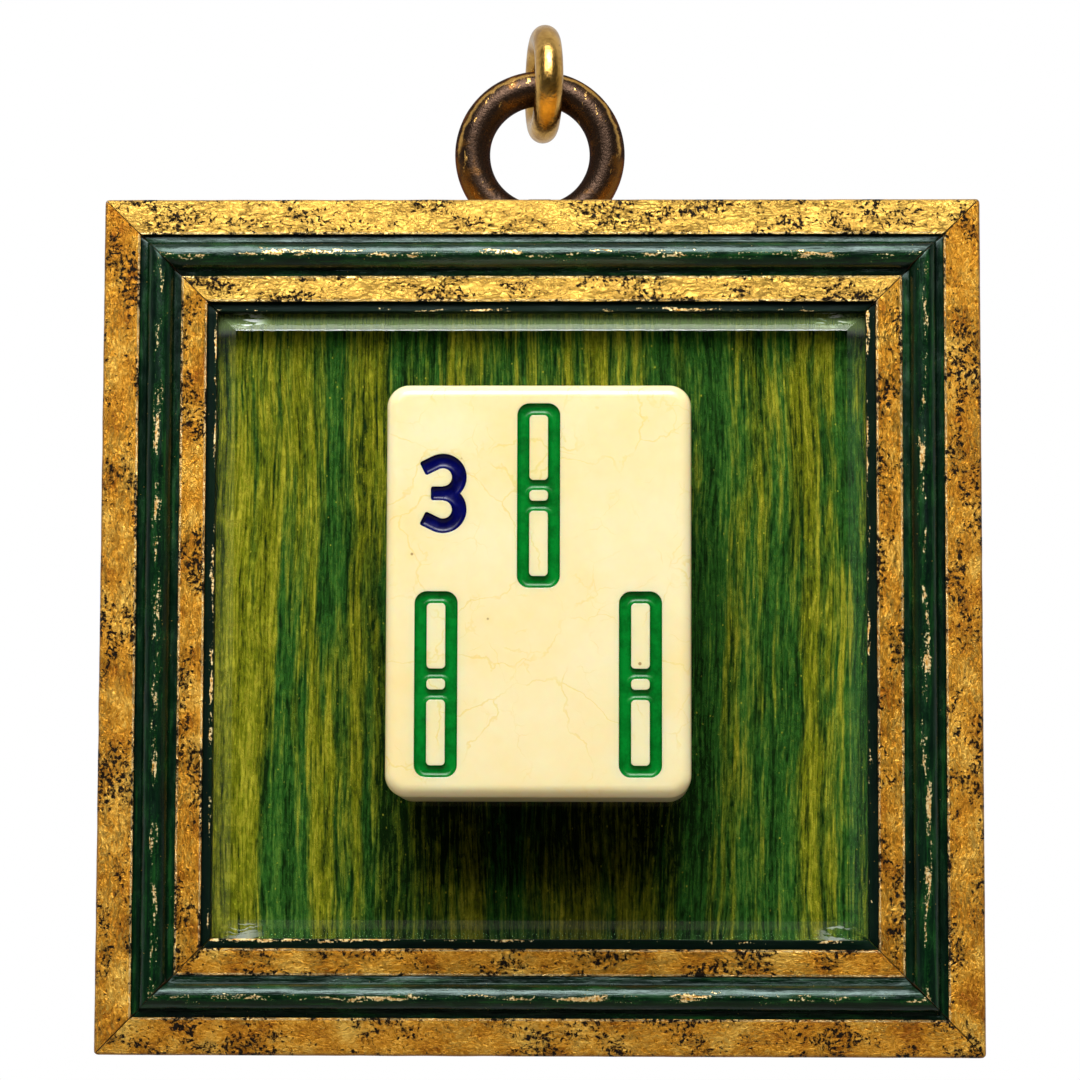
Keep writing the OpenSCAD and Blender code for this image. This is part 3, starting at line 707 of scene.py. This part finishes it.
def dark_bronze(colours, centre, mean_r, wire_r):
    """Dark patinated bronze, rubbed golden in scratches and in a line inside its outer rim, the line kept
    to the upper part as a painted highlight.
    """
    f = Finish("dark_bronze")
    place = f.solid_mm(centre)
    reach = f.node("ShaderNodeVectorMath", operation="LENGTH")
    f.feed(reach.inputs[0], f.placed(place, (1, 0, 1)))
    out = f.math("DIVIDE", f.math("SUBTRACT", reach.outputs["Value"], mean_r / MM), wire_r / MM)
    _, _, height = f.split(place)
    drift = f.drifted(place, 0.6, 0.6)
    mottle = f.noise(drift, 0.7, 5, 0.65)
    grain = f.noise(place, 5.0, 3, 0.65)
    wear = f.noise(drift, 0.30, 4, 0.65)
    painted_highlight_upper = f.span(height, -2.5, 1.5)
    # partly painted highlight: the golden line inside the outer rim shows only on the upper part, where the
    # lamp would catch it
    line = f.around(f.total((out, 1.0), (wear, 0.8), (grain, 0.1)), 1.14, 0.22)
    rubbed = f.span(f.total((f.math("MULTIPLY", line, painted_highlight_upper), 1.0), (mottle, 0.9)), 0.80, 1.50)
    scratch = f.noise(f.placed(drift, (1.6, 1.6, 0.5), turn=(0, 0.35, 0)), 1.3, 4, 0.7)
    scored = f.span(f.total((scratch, 1.0), (f.around(out, 0.35, 0.35), 0.07)), 0.665, 0.70)
    low_side = f.math("MULTIPLY", f.span(height, 1.5, -4.5), f.span(out, 0.0, 0.6))
    warm = f.span(f.total((mottle, 1.0), (low_side, 0.30), (f.span(out, 0.2, 0.9), 0.10)), 0.52, 0.82)
    colour = f.mixed(warm, colours.bronze, colours.bronze_warm)
    colour = f.mixed(scored, colour, colours.bronze_rubbed)
    colour = f.mixed(rubbed, colour, colours.bronze_rubbed)
    return f.done(f.surface(
        base_color=colour,
        metallic=f.total((rubbed, 0.1), (1.0, 0.85)),
        roughness=f.total((grain, 0.3), (mottle, 0.1), (1.0, 0.08)),
        specular_tint=colours.bronze_rim,
        normal=f.bump(f.total((grain, 0.4), (mottle, 0.6)), 0.08 * MM)))


def polished_brass(colours):
    """Polished brass with fine scratches and a few dark pits."""
    f = Finish("polished_brass")
    place = f.solid_mm()
    cloud = f.noise(f.drifted(place, 0.5, 0.8), 0.6, 4, 0.6)
    spots = f.noise(place, 2.4, 4, 0.65)
    scratch = f.noise(f.placed(place, (6.0, 1.4, 1.4), turn=(0, 0.2, 0.3)), 1.2, 4, 0.65)
    pits = f.span(f.total((f.cells(place, 1.9), 1.0), (cloud, -0.25)), 0.0, -0.05)
    colour = f.ramp(cloud, (0.38, colours.brass_deep), (0.60, colours.brass))
    colour = f.mixed(f.math("MULTIPLY", pits, 0.9), colour, colours.pit)
    return f.done(f.surface(
        base_color=colour,
        metallic=0.97,
        roughness=f.total((scratch, 0.14), (spots, 0.14), (1.0, 0.02)),
        normal=f.bump(f.total((scratch, 0.4), (cloud, 0.6), (spots, 0.8), (pits, -0.6)), 0.05 * MM)))


def piece(name, bm, body, slot, nodes, *finishes, crisp=40):
    """Makes an object of a mesh in its place, on its body, standing for its nodes.

    Edges with more degrees than crisp between their faces are shaded sharp.
    """
    mesh = bpy.data.meshes.new(name)
    bm.to_mesh(mesh)
    bm.free()
    for leftover in ("custom_normal", "sharp_face"):
        if leftover in mesh.attributes:
            mesh.attributes.remove(mesh.attributes[leftover])
    for finish in finishes:
        mesh.materials.append(finish)
    mesh.shade_smooth()
    mesh.set_sharp_from_angle(angle=math.radians(crisp))
    made = bpy.data.objects.new(name, mesh)
    bpy.context.scene.collection.objects.link(made)
    even = made.modifiers.new("even_shading", "WEIGHTED_NORMAL")
    even.keep_sharp = True
    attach(made, body)
    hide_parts(*nodes)
    return made


def merged_copy(node):
    """A node's loose triangles joined into flat faces."""
    bm = bmesh.new()
    bm.from_mesh(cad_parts[node].data)
    bmesh.ops.remove_doubles(bm, verts=bm.verts, dist=WELD)
    bmesh.ops.dissolve_limit(bm, angle_limit=math.radians(0.5), verts=bm.verts, edges=bm.edges)
    return bm


def rounded(bm, edges, radius, segments):
    bmesh.ops.bevel(bm, geom=edges, offset=radius, affect="EDGES", segments=segments,
                    profile=0.5, material=-1, clamp_overlap=True)


def soft_copy(node, radius, segments=2):
    """A node's shape with its sharp edges rounded."""
    bm = merged_copy(node)
    sharp = [e for e in bm.edges if e.is_manifold and e.calc_face_angle() > math.radians(25)]
    rounded(bm, sharp, radius, segments)
    return bm


def roughen(bm, grain, depth, seed=0.0):
    """Sinks each vertex by a smooth share of depth, so that a piece stays inside its solid."""
    bm.normal_update()
    away = Vector((seed, seed, seed))
    for vert in bm.verts:
        share = 0.5 + 0.5 * noise.noise(vert.co / grain + away)
        vert.co -= vert.normal * (depth * share)


class Pen:
    """Draws an outline in a moulding's section, on Y and Z, corner by corner and arc by arc."""

    def __init__(self, bm, u, v):
        self.bm = bm
        self.first = self.last = bm.verts.new((0, u, v))

    def line(self, u, v):
        corner = self.bm.verts.new((0, u, v))
        self.bm.edges.new((self.last, corner))
        self.last = corner
        return corner

    def arc(self, u, v, turn, steps):
        """Turns about a centre from the last corner."""
        made = bmesh.ops.spin(self.bm, geom=[self.last], cent=(0, u, v), axis=(1, 0, 0),
                              angle=turn, steps=steps, use_duplicate=False)
        self.last = next(g for g in made["geom_last"] if isinstance(g, bmesh.types.BMVert))

    def close(self):
        self.bm.edges.new((self.last, self.first))
        return bmesh.ops.contextual_create(self.bm, geom=self.bm.edges[:])["faces"][0]


def section_of(sizes):
    """Places in the moulding's section, worked out from its sizes as the solids' are."""
    low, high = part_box("bottom_rail")
    s = SimpleNamespace(back_y=high.y, depth=high.y - low.y)
    s.green_u = sizes.outer_band_w
    s.inner_u = s.green_u + sizes.green_w
    s.sight_u = s.inner_u + sizes.inner_band_w
    s.rail_w = s.sight_u + sizes.sight_w
    s.rebate_u = s.rail_w - sizes.lip_w
    s.bead_u = s.green_u + sizes.green_w / 2
    s.bead_v = s.depth - sizes.bead_r
    s.floor_v = s.bead_v - sizes.bead_lift
    s.outer_hi = s.floor_v + sizes.outer_step
    s.outer_lo = s.outer_hi - sizes.outer_band_w * math.tan(sizes.outer_slope)
    s.round_v = (s.outer_lo - sizes.outer_round * (1 - math.sin(sizes.outer_slope))
                 / math.cos(sizes.outer_slope))
    s.inner_hi = s.floor_v + sizes.inner_step
    s.inner_lo = s.inner_hi - sizes.inner_band_w * math.tan(sizes.inner_slope)
    s.sight_lo = s.inner_hi - sizes.sight_step
    s.sight_hi = s.sight_lo + sizes.sight_w * math.tan(sizes.sight_slope)
    s.lip_v = s.sight_hi - sizes.lip_t
    return s


def draw_section(bm, sizes, s):
    """The moulding's section as one face, with soft arrises."""
    floor_v = s.floor_v + sizes.floor_rise
    lift_turn = math.asin((s.bead_v - floor_v) / sizes.bead_r)
    foot = sizes.bead_r * math.cos(lift_turn)
    pen = Pen(bm, 0, 0)
    pen.line(0, s.round_v)
    pen.arc(sizes.outer_round, s.round_v, -(math.pi / 2 - sizes.outer_slope), 6)
    arrises = [pen.line(s.green_u, s.outer_hi)]
    pen.line(s.green_u, floor_v - sizes.fillet_drop)
    pen.line(s.bead_u - foot, floor_v)
    pen.arc(s.bead_u, s.bead_v, -(math.pi + 2 * lift_turn), 22)
    pen.line(s.inner_u, floor_v - sizes.fillet_drop)
    arrises.append(pen.line(s.inner_u, s.inner_lo))
    arrises.append(pen.line(s.sight_u, s.inner_hi))
    pen.line(s.sight_u, s.sight_lo)
    arrises.append(pen.line(s.rail_w, s.sight_hi))
    pen.line(s.rail_w, s.lip_v)
    pen.line(s.rebate_u, s.lip_v)
    pen.line(s.rebate_u, 0)
    pen.close()
    bmesh.ops.bevel(bm, geom=arrises, offset=sizes.arris_r, affect="VERTICES", segments=3,
                    profile=0.5, material=-1)
    wide = [e for e in bm.edges
            if e.calc_length() > 2 * FACET and max(v.co.z for v in e.verts) > s.lip_v]
    for edge in wide:
        bmesh.ops.subdivide_edges(bm, edges=[edge], cuts=min(6, int(edge.calc_length() / FACET)))


def finish_of(face, s):
    """Which of a rail's finishes a face takes."""
    _, u, v = face.calc_center_median()
    if abs(face.normal.x) > 0.5 or face.normal.z < -0.5 or (u > s.rebate_u - NEAR and v < s.lip_v):
        return BARE
    if u < s.green_u - NEAR or s.inner_u + NEAR < u < s.sight_u - NEAR:
        return GILT
    return LACQUER


def mitre(bm, sizes, half, hand):
    """Cuts one end of a rail at 45 degrees and wears the edge of the cut."""
    out = Vector((hand, 1, 0)).normalized()
    for inset, clear in ((sizes.mitre_gap, True), (sizes.mitre_gap + 2 * sizes.mitre_ease, False)):
        place = Vector((hand * half, 0, 0)) - out * inset
        bmesh.ops.bisect_plane(bm, geom=bm.verts[:] + bm.edges[:] + bm.faces[:], dist=WELD,
                               plane_co=place, plane_no=out, clear_outer=clear)
    for share in (1.0, 0.6, 0.3, 0.1):
        place = (hand * (half - share * sizes.corner_r), 0, 0)
        bmesh.ops.bisect_plane(bm, geom=bm.verts[:] + bm.edges[:] + bm.faces[:], dist=WELD,
                               plane_co=place, plane_no=(hand, 0, 0))
    for vert in bm.verts:
        reach = Vector((sizes.corner_r - half + hand * vert.co.x, sizes.corner_r - vert.co.y))
        if min(reach) > 0 and reach.length > sizes.corner_r:
            worn = reach.normalized() * sizes.corner_r
            vert.co.x = hand * (half - sizes.corner_r + worn.x)
            vert.co.y = sizes.corner_r - worn.y
    rim = [e for e in bm.edges if e.is_boundary]
    for vert in {v for e in rim for v in e.verts}:
        vert.co -= sum((f.normal for f in vert.link_faces), Vector()).normalized() * sizes.mitre_ease
    bmesh.ops.holes_fill(bm, edges=rim, sides=0)


def across_rail(sizes, s, u, v):
    """Way across a rail's front, carried on down its outer wall and its lip."""
    if u < sizes.corner_r and v < s.round_v:
        return v - s.round_v
    if u > s.rail_w - NEAR and v < s.sight_hi:
        return u + s.sight_hi - v
    return u


def rail_mesh(sizes, s, span, offset):
    """One rail along X, with Y inward and Z forward, mitred at both ends."""
    bm = bmesh.new()
    draw_section(bm, sizes, s)
    bmesh.ops.translate(bm, verts=bm.verts, vec=(-span / 2, 0, 0))
    run = bmesh.ops.extrude_face_region(bm, geom=bm.faces[:])
    ahead = [g for g in run["geom"] if isinstance(g, bmesh.types.BMVert)]
    bmesh.ops.translate(bm, verts=ahead, vec=(span, 0, 0))
    bmesh.ops.recalc_face_normals(bm, faces=bm.faces)
    along = [e for e in bm.edges if abs(e.verts[0].co.x - e.verts[1].co.x) > span / 2]
    bmesh.ops.subdivide_edges(bm, edges=along, cuts=RAIL_CUTS, use_grid_fill=True)
    for hand in (-1, 1):
        bm.normal_update()
        mitre(bm, sizes, span / 2, hand)
    bmesh.ops.recalc_face_normals(bm, faces=bm.faces)
    bm.normal_update()
    places = bm.loops.layers.uv.new("rail")
    for face in bm.faces:
        face.material_index = finish_of(face, s)
        for loop in face.loops:
            x, u, v = loop.vert.co
            loop[places].uv = (x + offset, across_rail(sizes, s, u, v))
    roughen(bm, sizes.grain, sizes.unevenness, offset / MM)
    return bm


class ORNAMENT_OT_rails(Operator):
    """Make the four mitred rails of the frame"""

    bl_idname = "ornament.rails"
    bl_label = "Rails"

    def execute(self, context):
        sizes = context.scene.ornament_moulding
        colours = context.scene.ornament_colours
        s = section_of(sizes)
        low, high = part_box("bottom_rail")[0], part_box("top_rail")[1]
        width, height = high.x - low.x, high.z - low.z
        finishes = gilt_leaf(colours, s), green_lacquer(colours, s), bare_wood(colours)
        sides = (("top", 180, width, height), ("bottom", 0, width, height),
                 ("left", 90, height, width), ("right", -90, height, width))
        for index, (name, turn, span, across) in enumerate(sides):
            bm = rail_mesh(sizes, s, span, index * RAIL_APART)
            place = (Matrix.Translation((0, s.back_y, (low.z + high.z) / 2))
                     @ Matrix.Rotation(math.radians(turn), 4, "Y")
                     @ Matrix.Translation((0, 0, -across / 2))
                     @ Matrix.Rotation(math.radians(90), 4, "X"))
            bmesh.ops.transform(bm, matrix=place, verts=bm.verts)
            piece(f"{name}_moulding", bm, "frame", "gilded_moulding", [f"{name}_rail"], *finishes)
        return {"FINISHED"}


class ORNAMENT_OT_nails(Operator):
    """Make the corner nails and the glazing points at the back"""

    bl_idname = "ornament.nails"
    bl_label = "Nails and Points"

    def execute(self, context):
        sizes = context.scene.ornament_pane
        steel = nail_steel(context.scene.ornament_colours)
        nails = soft_copy("corner_nails", sizes.metal_edge)
        back_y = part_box("corner_nails")[1].y
        ends = [v for v in nails.verts if v.co.y > back_y - sizes.metal_edge - NEAR]
        bmesh.ops.translate(nails, verts=ends, vec=(0, sizes.nail_stand, 0))
        piece("corner_fasteners", nails, "frame", "nail_steel", ["corner_nails"], steel)
        points = soft_copy("glazing_points", sizes.metal_edge)
        piece("glazing_tabs", points, "frame", "nail_steel", ["glazing_points"], steel)
        return {"FINISHED"}


class ORNAMENT_OT_pane(Operator):
    """Make the bevelled pane"""

    bl_idname = "ornament.pane"
    bl_label = "Pane"

    def execute(self, context):
        sizes = context.scene.ornament_pane
        colours = context.scene.ornament_colours
        low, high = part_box("bevelled_glass")
        half = (high - low) / 2
        bm = soft_copy("bevelled_glass", sizes.glass_edge, 3)
        bm.normal_update()
        for face in bm.faces:
            if abs(face.normal.y) < 0.5:
                face.material_index = GROUND
            elif -0.99 < face.normal.y < -0.5:
                face.material_index = BEVELLED
            else:
                face.material_index = POLISHED
        bevel = bevel_glass(colours, low + half, half.x, half.z)
        piece("pane", bm, "frame", "pane_glass", ["bevelled_glass"],
              pane_glass(colours, low + half), bevel, ground_edge(colours))
        return {"FINISHED"}


class ORNAMENT_OT_boards(Operator):
    """Make the stained panel and the backing board"""

    bl_idname = "ornament.boards"
    bl_label = "Panel and Board"

    def execute(self, context):
        sizes = context.scene.ornament_pane
        colours = context.scene.ornament_colours
        panel = soft_copy("green_panel", sizes.board_edge)
        piece("stained_panel", panel, "frame", "stained_wood", ["green_panel"], stained_veneer(colours))
        board = soft_copy("backing_board", sizes.board_edge)
        piece("back_board", board, "frame", "board_wood", ["backing_board"], backing_board(colours))
        return {"FINISHED"}


ENAMELS = (("upper_stick", "green_enamel"), ("left_stick", "green_enamel"),
           ("right_stick", "green_enamel"), ("numeral", "blue_enamel"))


def traced(node, face_y, corner_r):
    """The front of an enamel node, flat on a plane, with its sharp corners rounded."""
    flat = merged_copy(node)
    others = [f for f in flat.faces if f.normal.y > -0.9]
    bmesh.ops.delete(flat, geom=others, context="FACES")
    for vert in flat.verts:
        vert.co.y = face_y
    sharp = []
    for vert in flat.verts:
        sides = [e.other_vert(vert).co - vert.co for e in vert.link_edges if e.is_boundary]
        if sides[0].angle(sides[1]) < math.radians(130) and min(s.length for s in sides) > 2 * corner_r:
            sharp.append(vert)
    if sharp:
        bmesh.ops.bevel(flat, geom=sharp, offset=corner_r, affect="VERTICES", segments=5,
                        profile=0.5, material=-1)
    return flat


def engraved_loops(bm, node, face_y, corner_r):
    """Draws the outlines of a motif on a plane, and returns its edges loop by loop, largest first."""
    flat = traced(node, face_y, corner_r)
    corners = {vert: bm.verts.new(vert.co) for vert in flat.verts}
    edges = [bm.edges.new([corners[v] for v in e.verts]) for e in flat.edges if e.is_boundary]
    flat.free()
    loops, left = [], set(edges)
    while left:
        loop, open_verts = [], [next(e for e in edges if e in left).verts[0]]
        while open_verts:
            reached = [e for e in open_verts.pop().link_edges if e in left]
            left.difference_update(reached)
            loop += reached
            open_verts += [v for e in reached for v in e.verts]
        loops.append(loop)
    return sorted(loops, key=lambda loop: -sum(e.calc_length() for e in loop))


def filled(bm, edges):
    """Fills the flat region between loops, facing forward."""
    made = bmesh.ops.triangle_fill(bm, edges=edges, use_beauty=True, normal=(0, -1, 0))
    faces = [g for g in made["geom"] if isinstance(g, bmesh.types.BMFace)]
    for face in faces:
        if face.normal.y > 0:
            face.normal_flip()
    return faces


def sink(bm, faces, *slopes):
    """Sets a flat region back from the tile's face by slopes, each a width and a depth."""
    for width, depth in slopes:
        bmesh.ops.inset_region(bm, faces=faces, thickness=width, use_boundary=True, use_even_offset=True)
        bmesh.ops.translate(bm, verts=list({v for f in faces for v in f.verts}), vec=(0, depth, 0))


class ORNAMENT_OT_tile(Operator):
    """Make the tile with its grooves, and the bond under it"""

    bl_idname = "ornament.tile"
    bl_label = "Tile"

    def execute(self, context):
        sizes = context.scene.ornament_tile
        colours = context.scene.ornament_colours
        low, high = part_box("tile_body")
        bm = bmesh.new()
        block = Matrix.Translation((low + high) / 2) @ Matrix.Diagonal((*(high - low), 1))
        bmesh.ops.create_cube(bm, size=1, matrix=block)
        through = [e for e in bm.edges if abs(e.verts[0].co.y - e.verts[1].co.y) > NEAR]
        rounded(bm, through, sizes.corner, 12)
        rims = [e for e in bm.edges if abs(e.verts[0].co.y - e.verts[1].co.y) < NEAR]
        rounded(bm, rims, sizes.edge, 8)
        bm.normal_update()
        face = max((f for f in bm.faces if f.normal.y < -0.99), key=lambda f: f.calc_area())
        outline = list(face.edges)
        bmesh.ops.delete(bm, geom=[face], context="FACES_ONLY")
        motifs = [engraved_loops(bm, f"{name}_enamel", low.y, sizes.numeral_round) for name, _ in ENAMELS]
        filled(bm, outline + [e for loops in motifs for e in loops[0]])
        for loops in motifs:
            groove = filled(bm, [e for loop in loops for e in loop])
            for window in loops[1:]:
                filled(bm, window)
            sink(bm, groove, (0.6 * sizes.lip, 0.2 * sizes.lip), (0.4 * sizes.lip, 0.8 * sizes.lip),
                 (0, sizes.groove - sizes.lip))
        piece("tile", bm, "frame", "cream_resin", ["tile_body"], cream_resin(colours), crisp=15)
        bond = soft_copy("tile_adhesive", sizes.bond_edge, 3)
        piece("tile_bond", bond, "frame", "clear_bond", ["tile_adhesive"], clear_bond(colours))
        return {"FINISHED"}


class ORNAMENT_OT_enamels(Operator):
    """Make the enamel in the tile's grooves"""

    bl_idname = "ornament.enamels"
    bl_label = "Enamels"

    def execute(self, context):
        sizes = context.scene.ornament_tile
        colours = context.scene.ornament_colours
        paints = {
            "green_enamel": enamel("green_enamel", colours.enamel_green, colours.enamel_green_dark),
            "blue_enamel": enamel("blue_enamel", colours.enamel_blue, colours.enamel_blue_dark),
        }
        face_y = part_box("tile_body")[0].y
        for name, slot in ENAMELS:
            bm = bmesh.new()
            loops = engraved_loops(bm, f"{name}_enamel", face_y, sizes.numeral_round)
            faces = filled(bm, [e for loop in loops for e in loop])
            sink(bm, faces, (sizes.lip, 0))
            outside = [f for f in bm.faces if f not in set(faces)]
            bmesh.ops.delete(bm, geom=outside, context="FACES")
            bmesh.ops.translate(bm, verts=bm.verts, vec=(0, sizes.fill_drop, 0))
            backs = bmesh.ops.extrude_face_region(bm, geom=faces, use_keep_orig=True)
            behind = [g for g in backs["geom"] if isinstance(g, bmesh.types.BMVert)]
            bmesh.ops.translate(bm, verts=behind, vec=(0, sizes.fill_back - sizes.fill_drop, 0))
            bowl = [(0.08, 0.25), (0.12, 0.25), (0.18, 0.2), (0.26, 0.2), (0.36, 0.1)]
            sink(bm, faces, *[(w * sizes.dish_w, d * sizes.dish) for w, d in bowl])
            bmesh.ops.recalc_face_normals(bm, faces=bm.faces)
            piece(f"{name}_fill", bm, "frame", slot, [f"{name}_enamel"], paints[slot])
        return {"FINISHED"}


class ORNAMENT_OT_strap(Operator):
    """Make the hanger's strap and its screw"""

    bl_idname = "ornament.strap"
    bl_label = "Strap and Screw"

    def execute(self, context):
        sizes = context.scene.ornament_hanger
        brass = aged_brass(context.scene.ornament_colours)
        for name, node in (("strap", "hanger_strap"), ("strap_screw", "hanger_screw")):
            piece(name, soft_copy(node, sizes.strap_edge), "frame", "aged_brass", [node], brass)
        return {"FINISHED"}


def wire_ring(sizes, centre, mean_r, wire_r, axis_turn):
    """A closed ring of round wire about Y, turned about the vertical, with shallow dents."""
    bm = bmesh.new()
    wire = bmesh.ops.create_circle(bm, segments=sizes.wire_sides, radius=wire_r,
                                   matrix=Matrix.Translation((mean_r, 0, 0)))
    rim = list({e for v in wire["verts"] for e in v.link_edges})
    bmesh.ops.spin(bm, geom=wire["verts"] + rim, cent=(0, 0, 0), axis=(0, 1, 0), angle=2 * math.pi,
                   steps=sizes.wire_steps, use_merge=True, use_duplicate=False)
    bmesh.ops.recalc_face_normals(bm, faces=bm.faces)
    roughen(bm, sizes.dent_size, sizes.wire_dent, mean_r / MM)
    place = Matrix.Translation(centre) @ Matrix.Rotation(axis_turn, 4, "Z")
    bmesh.ops.transform(bm, matrix=place, verts=bm.verts)
    return bm


class ORNAMENT_OT_ring(Operator):
    """Make the bronze ring"""

    bl_idname = "ornament.ring"
    bl_label = "Ring"

    def execute(self, context):
        sizes = context.scene.ornament_hanger
        low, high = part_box("hanging_ring")
        centre = (low + high) / 2
        wire_r = (high.y - low.y) / 2
        mean_r = (high.x - low.x) / 2 - wire_r
        bm = wire_ring(sizes, centre, mean_r, wire_r, 0.0)
        finish = dark_bronze(context.scene.ornament_colours, centre, mean_r, wire_r)
        piece("ring", bm, "ring", "dark_bronze", ["hanging_ring"], finish)
        return {"FINISHED"}


class ORNAMENT_OT_link(Operator):
    """Make the brass link"""

    bl_idname = "ornament.link"
    bl_label = "Link"

    def execute(self, context):
        sizes = context.scene.ornament_hanger
        low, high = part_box("hanging_link")
        mean_r = (high.z - low.z) / 2 - sizes.link_wire_r
        bm = wire_ring(sizes, (low + high) / 2, mean_r, sizes.link_wire_r, math.pi / 2 + sizes.link_turn)
        finish = polished_brass(context.scene.ornament_colours)
        piece("link", bm, "link", "polished_brass", ["hanging_link"], finish)
        return {"FINISHED"}


def area_lamp(name, power, side, place, aim):
    lamp = bpy.data.lights.new(name, "AREA")
    lamp.shape = "SQUARE"
    lamp.size = side
    lamp.energy = power
    made = bpy.data.objects.new(name, lamp)
    bpy.context.scene.collection.objects.link(made)
    made.location = place
    made.rotation_euler = (aim - place).to_track_quat("-Z", "Y").to_euler()
    return made


def studio_world(settings):
    """White to the camera; to the ornament, a pale tent that is dim in front, where the lens is dark."""
    world = bpy.data.worlds.new("studio")
    bpy.context.scene.world = world
    world.use_nodes = True
    f = Nodes(world.node_tree)
    _, back, up = f.split(f.node("ShaderNodeTexCoord").outputs["Generated"])
    around = f.span(back, -0.5, 0.2)
    below = f.math("MULTIPLY", f.span(up, -0.2, -0.6), f.span(back, 0.2, -0.5))
    studio = f.total((around, settings.back_tone), (below, settings.low_tone), (1.0, settings.front_tone))
    studio = f.math("MULTIPLY", studio, f.span(back, -0.985, -0.94))
    background = f.node("ShaderNodeBackground")
    f.feed(background.inputs["Color"], f.mixed(below, (1, 1, 1), settings.low_tint))
    f.feed(background.inputs["Strength"],
           f.math("MAXIMUM", studio, f.node("ShaderNodeLightPath").outputs["Is Camera Ray"]))
    f.feed(f.node("ShaderNodeOutputWorld").inputs["Surface"], background.outputs[0])


def floor_finish(settings):
    """A pale floor that keeps the shadow and fades into the white background."""
    f = Finish("floor")
    reach = f.node("ShaderNodeVectorMath", operation="LENGTH")
    f.feed(reach.inputs[0], f.placed(f.node("ShaderNodeTexCoord").outputs["Object"], (1, 1, 0)))
    far = f.span(reach.outputs["Value"], 0.25 * settings.floor_r, 0.75 * settings.floor_r)
    white = f.node("ShaderNodeEmission")
    f.feed(white.inputs["Color"], (1, 1, 1))
    f.feed(white.inputs["Strength"], 1.0)
    plain = f.surface(base_color=(settings.floor_white,) * 3, roughness=0.9,
                      emission_color=(1, 1, 1), emission_strength=0.4)
    blend = f.node("ShaderNodeMixShader")
    f.feed(blend.inputs["Fac"], far)
    f.feed(blend.inputs[1], plain)
    f.feed(blend.inputs[2], white.outputs[0])
    return f.done(blend.outputs[0])


class ORNAMENT_OT_stage(Operator):
    """Make the camera, the lamps, the world and the floor"""

    bl_idname = "ornament.stage"
    bl_label = "Stage"

    def execute(self, context):
        scene = context.scene
        settings = scene.ornament_stage
        scene.view_settings.view_transform = "Standard"
        camera = bpy.data.objects.new("camera", bpy.data.cameras.new("camera"))
        scene.collection.objects.link(camera)
        camera.data.lens = settings.camera_lens
        camera.data.sensor_fit = "HORIZONTAL"
        camera.data.sensor_width = 36
        camera.data.clip_start = 0.01
        turn = Euler((math.pi / 2 + settings.camera_pitch, 0, settings.camera_yaw)).to_matrix()
        turn = turn @ Matrix.Rotation(settings.camera_roll, 3, "Z")
        camera.matrix_world = Matrix.Translation(settings.camera_place) @ turn.to_4x4()
        scene.camera = camera
        aim = Vector((0, 0, settings.aim_height))
        towards = Vector((-math.sin(settings.key_side) * math.cos(settings.key_height),
                          -math.cos(settings.key_side) * math.cos(settings.key_height),
                          math.sin(settings.key_height)))
        place = aim + towards * settings.key_distance
        area_lamp("key_lamp", settings.key_power, settings.key_size, place, aim)
        core_place = place - towards * settings.core_gap
        area_lamp("key_core", settings.core_power, settings.core_size, core_place, aim)
        studio_world(settings)
        bm = bmesh.new()
        bmesh.ops.create_circle(bm, cap_ends=True, segments=96, radius=settings.floor_r,
                                matrix=Matrix.Translation((0, 0, -settings.floor_drop)))
        mesh = bpy.data.meshes.new("floor")
        bm.to_mesh(mesh)
        bm.free()
        mesh.materials.append(floor_finish(settings))
        floor = bpy.data.objects.new("floor", mesh)
        scene.collection.objects.link(floor)
        floor.visible_glossy = False
        floor.visible_diffuse = False
        floor.visible_transmission = False
        return {"FINISHED"}


STEPS = (ORNAMENT_OT_rails, ORNAMENT_OT_nails, ORNAMENT_OT_pane, ORNAMENT_OT_boards, ORNAMENT_OT_tile,
         ORNAMENT_OT_enamels, ORNAMENT_OT_strap, ORNAMENT_OT_ring, ORNAMENT_OT_link, ORNAMENT_OT_stage)
GROUPS = (("ornament_moulding", MouldingSizes), ("ornament_pane", PaneSizes),
          ("ornament_tile", TileSizes), ("ornament_hanger", HangerSizes),
          ("ornament_colours", FinishColours), ("ornament_stage", StageSettings))


class ORNAMENT_PT_steps(Panel):
    """Lists the steps that make the ornament, and their sizes"""

    bl_idname = "ORNAMENT_PT_steps"
    bl_label = "Framed Tile Ornament"
    bl_space_type = "VIEW_3D"
    bl_region_type = "UI"
    bl_category = "Ornament"

    def draw(self, context):
        for step in STEPS:
            self.layout.operator(step.bl_idname)
        for name, group in GROUPS:
            box = self.layout.box()
            for key in group.__annotations__:
                box.prop(getattr(context.scene, name), key)


def register():
    for name, group in GROUPS:
        bpy.utils.register_class(group)
        setattr(bpy.types.Scene, name, PointerProperty(type=group))
    for item in (*STEPS, ORNAMENT_PT_steps):
        bpy.utils.register_class(item)


def unregister():
    for item in (ORNAMENT_PT_steps, *reversed(STEPS)):
        bpy.utils.unregister_class(item)
    for name, group in reversed(GROUPS):
        delattr(bpy.types.Scene, name)
        bpy.utils.unregister_class(group)


def main():
    register()
    for step in STEPS:
        family, name = step.bl_idname.split(".")
        getattr(getattr(bpy.ops, family), name)()


if __name__ == "__main__":
    main()
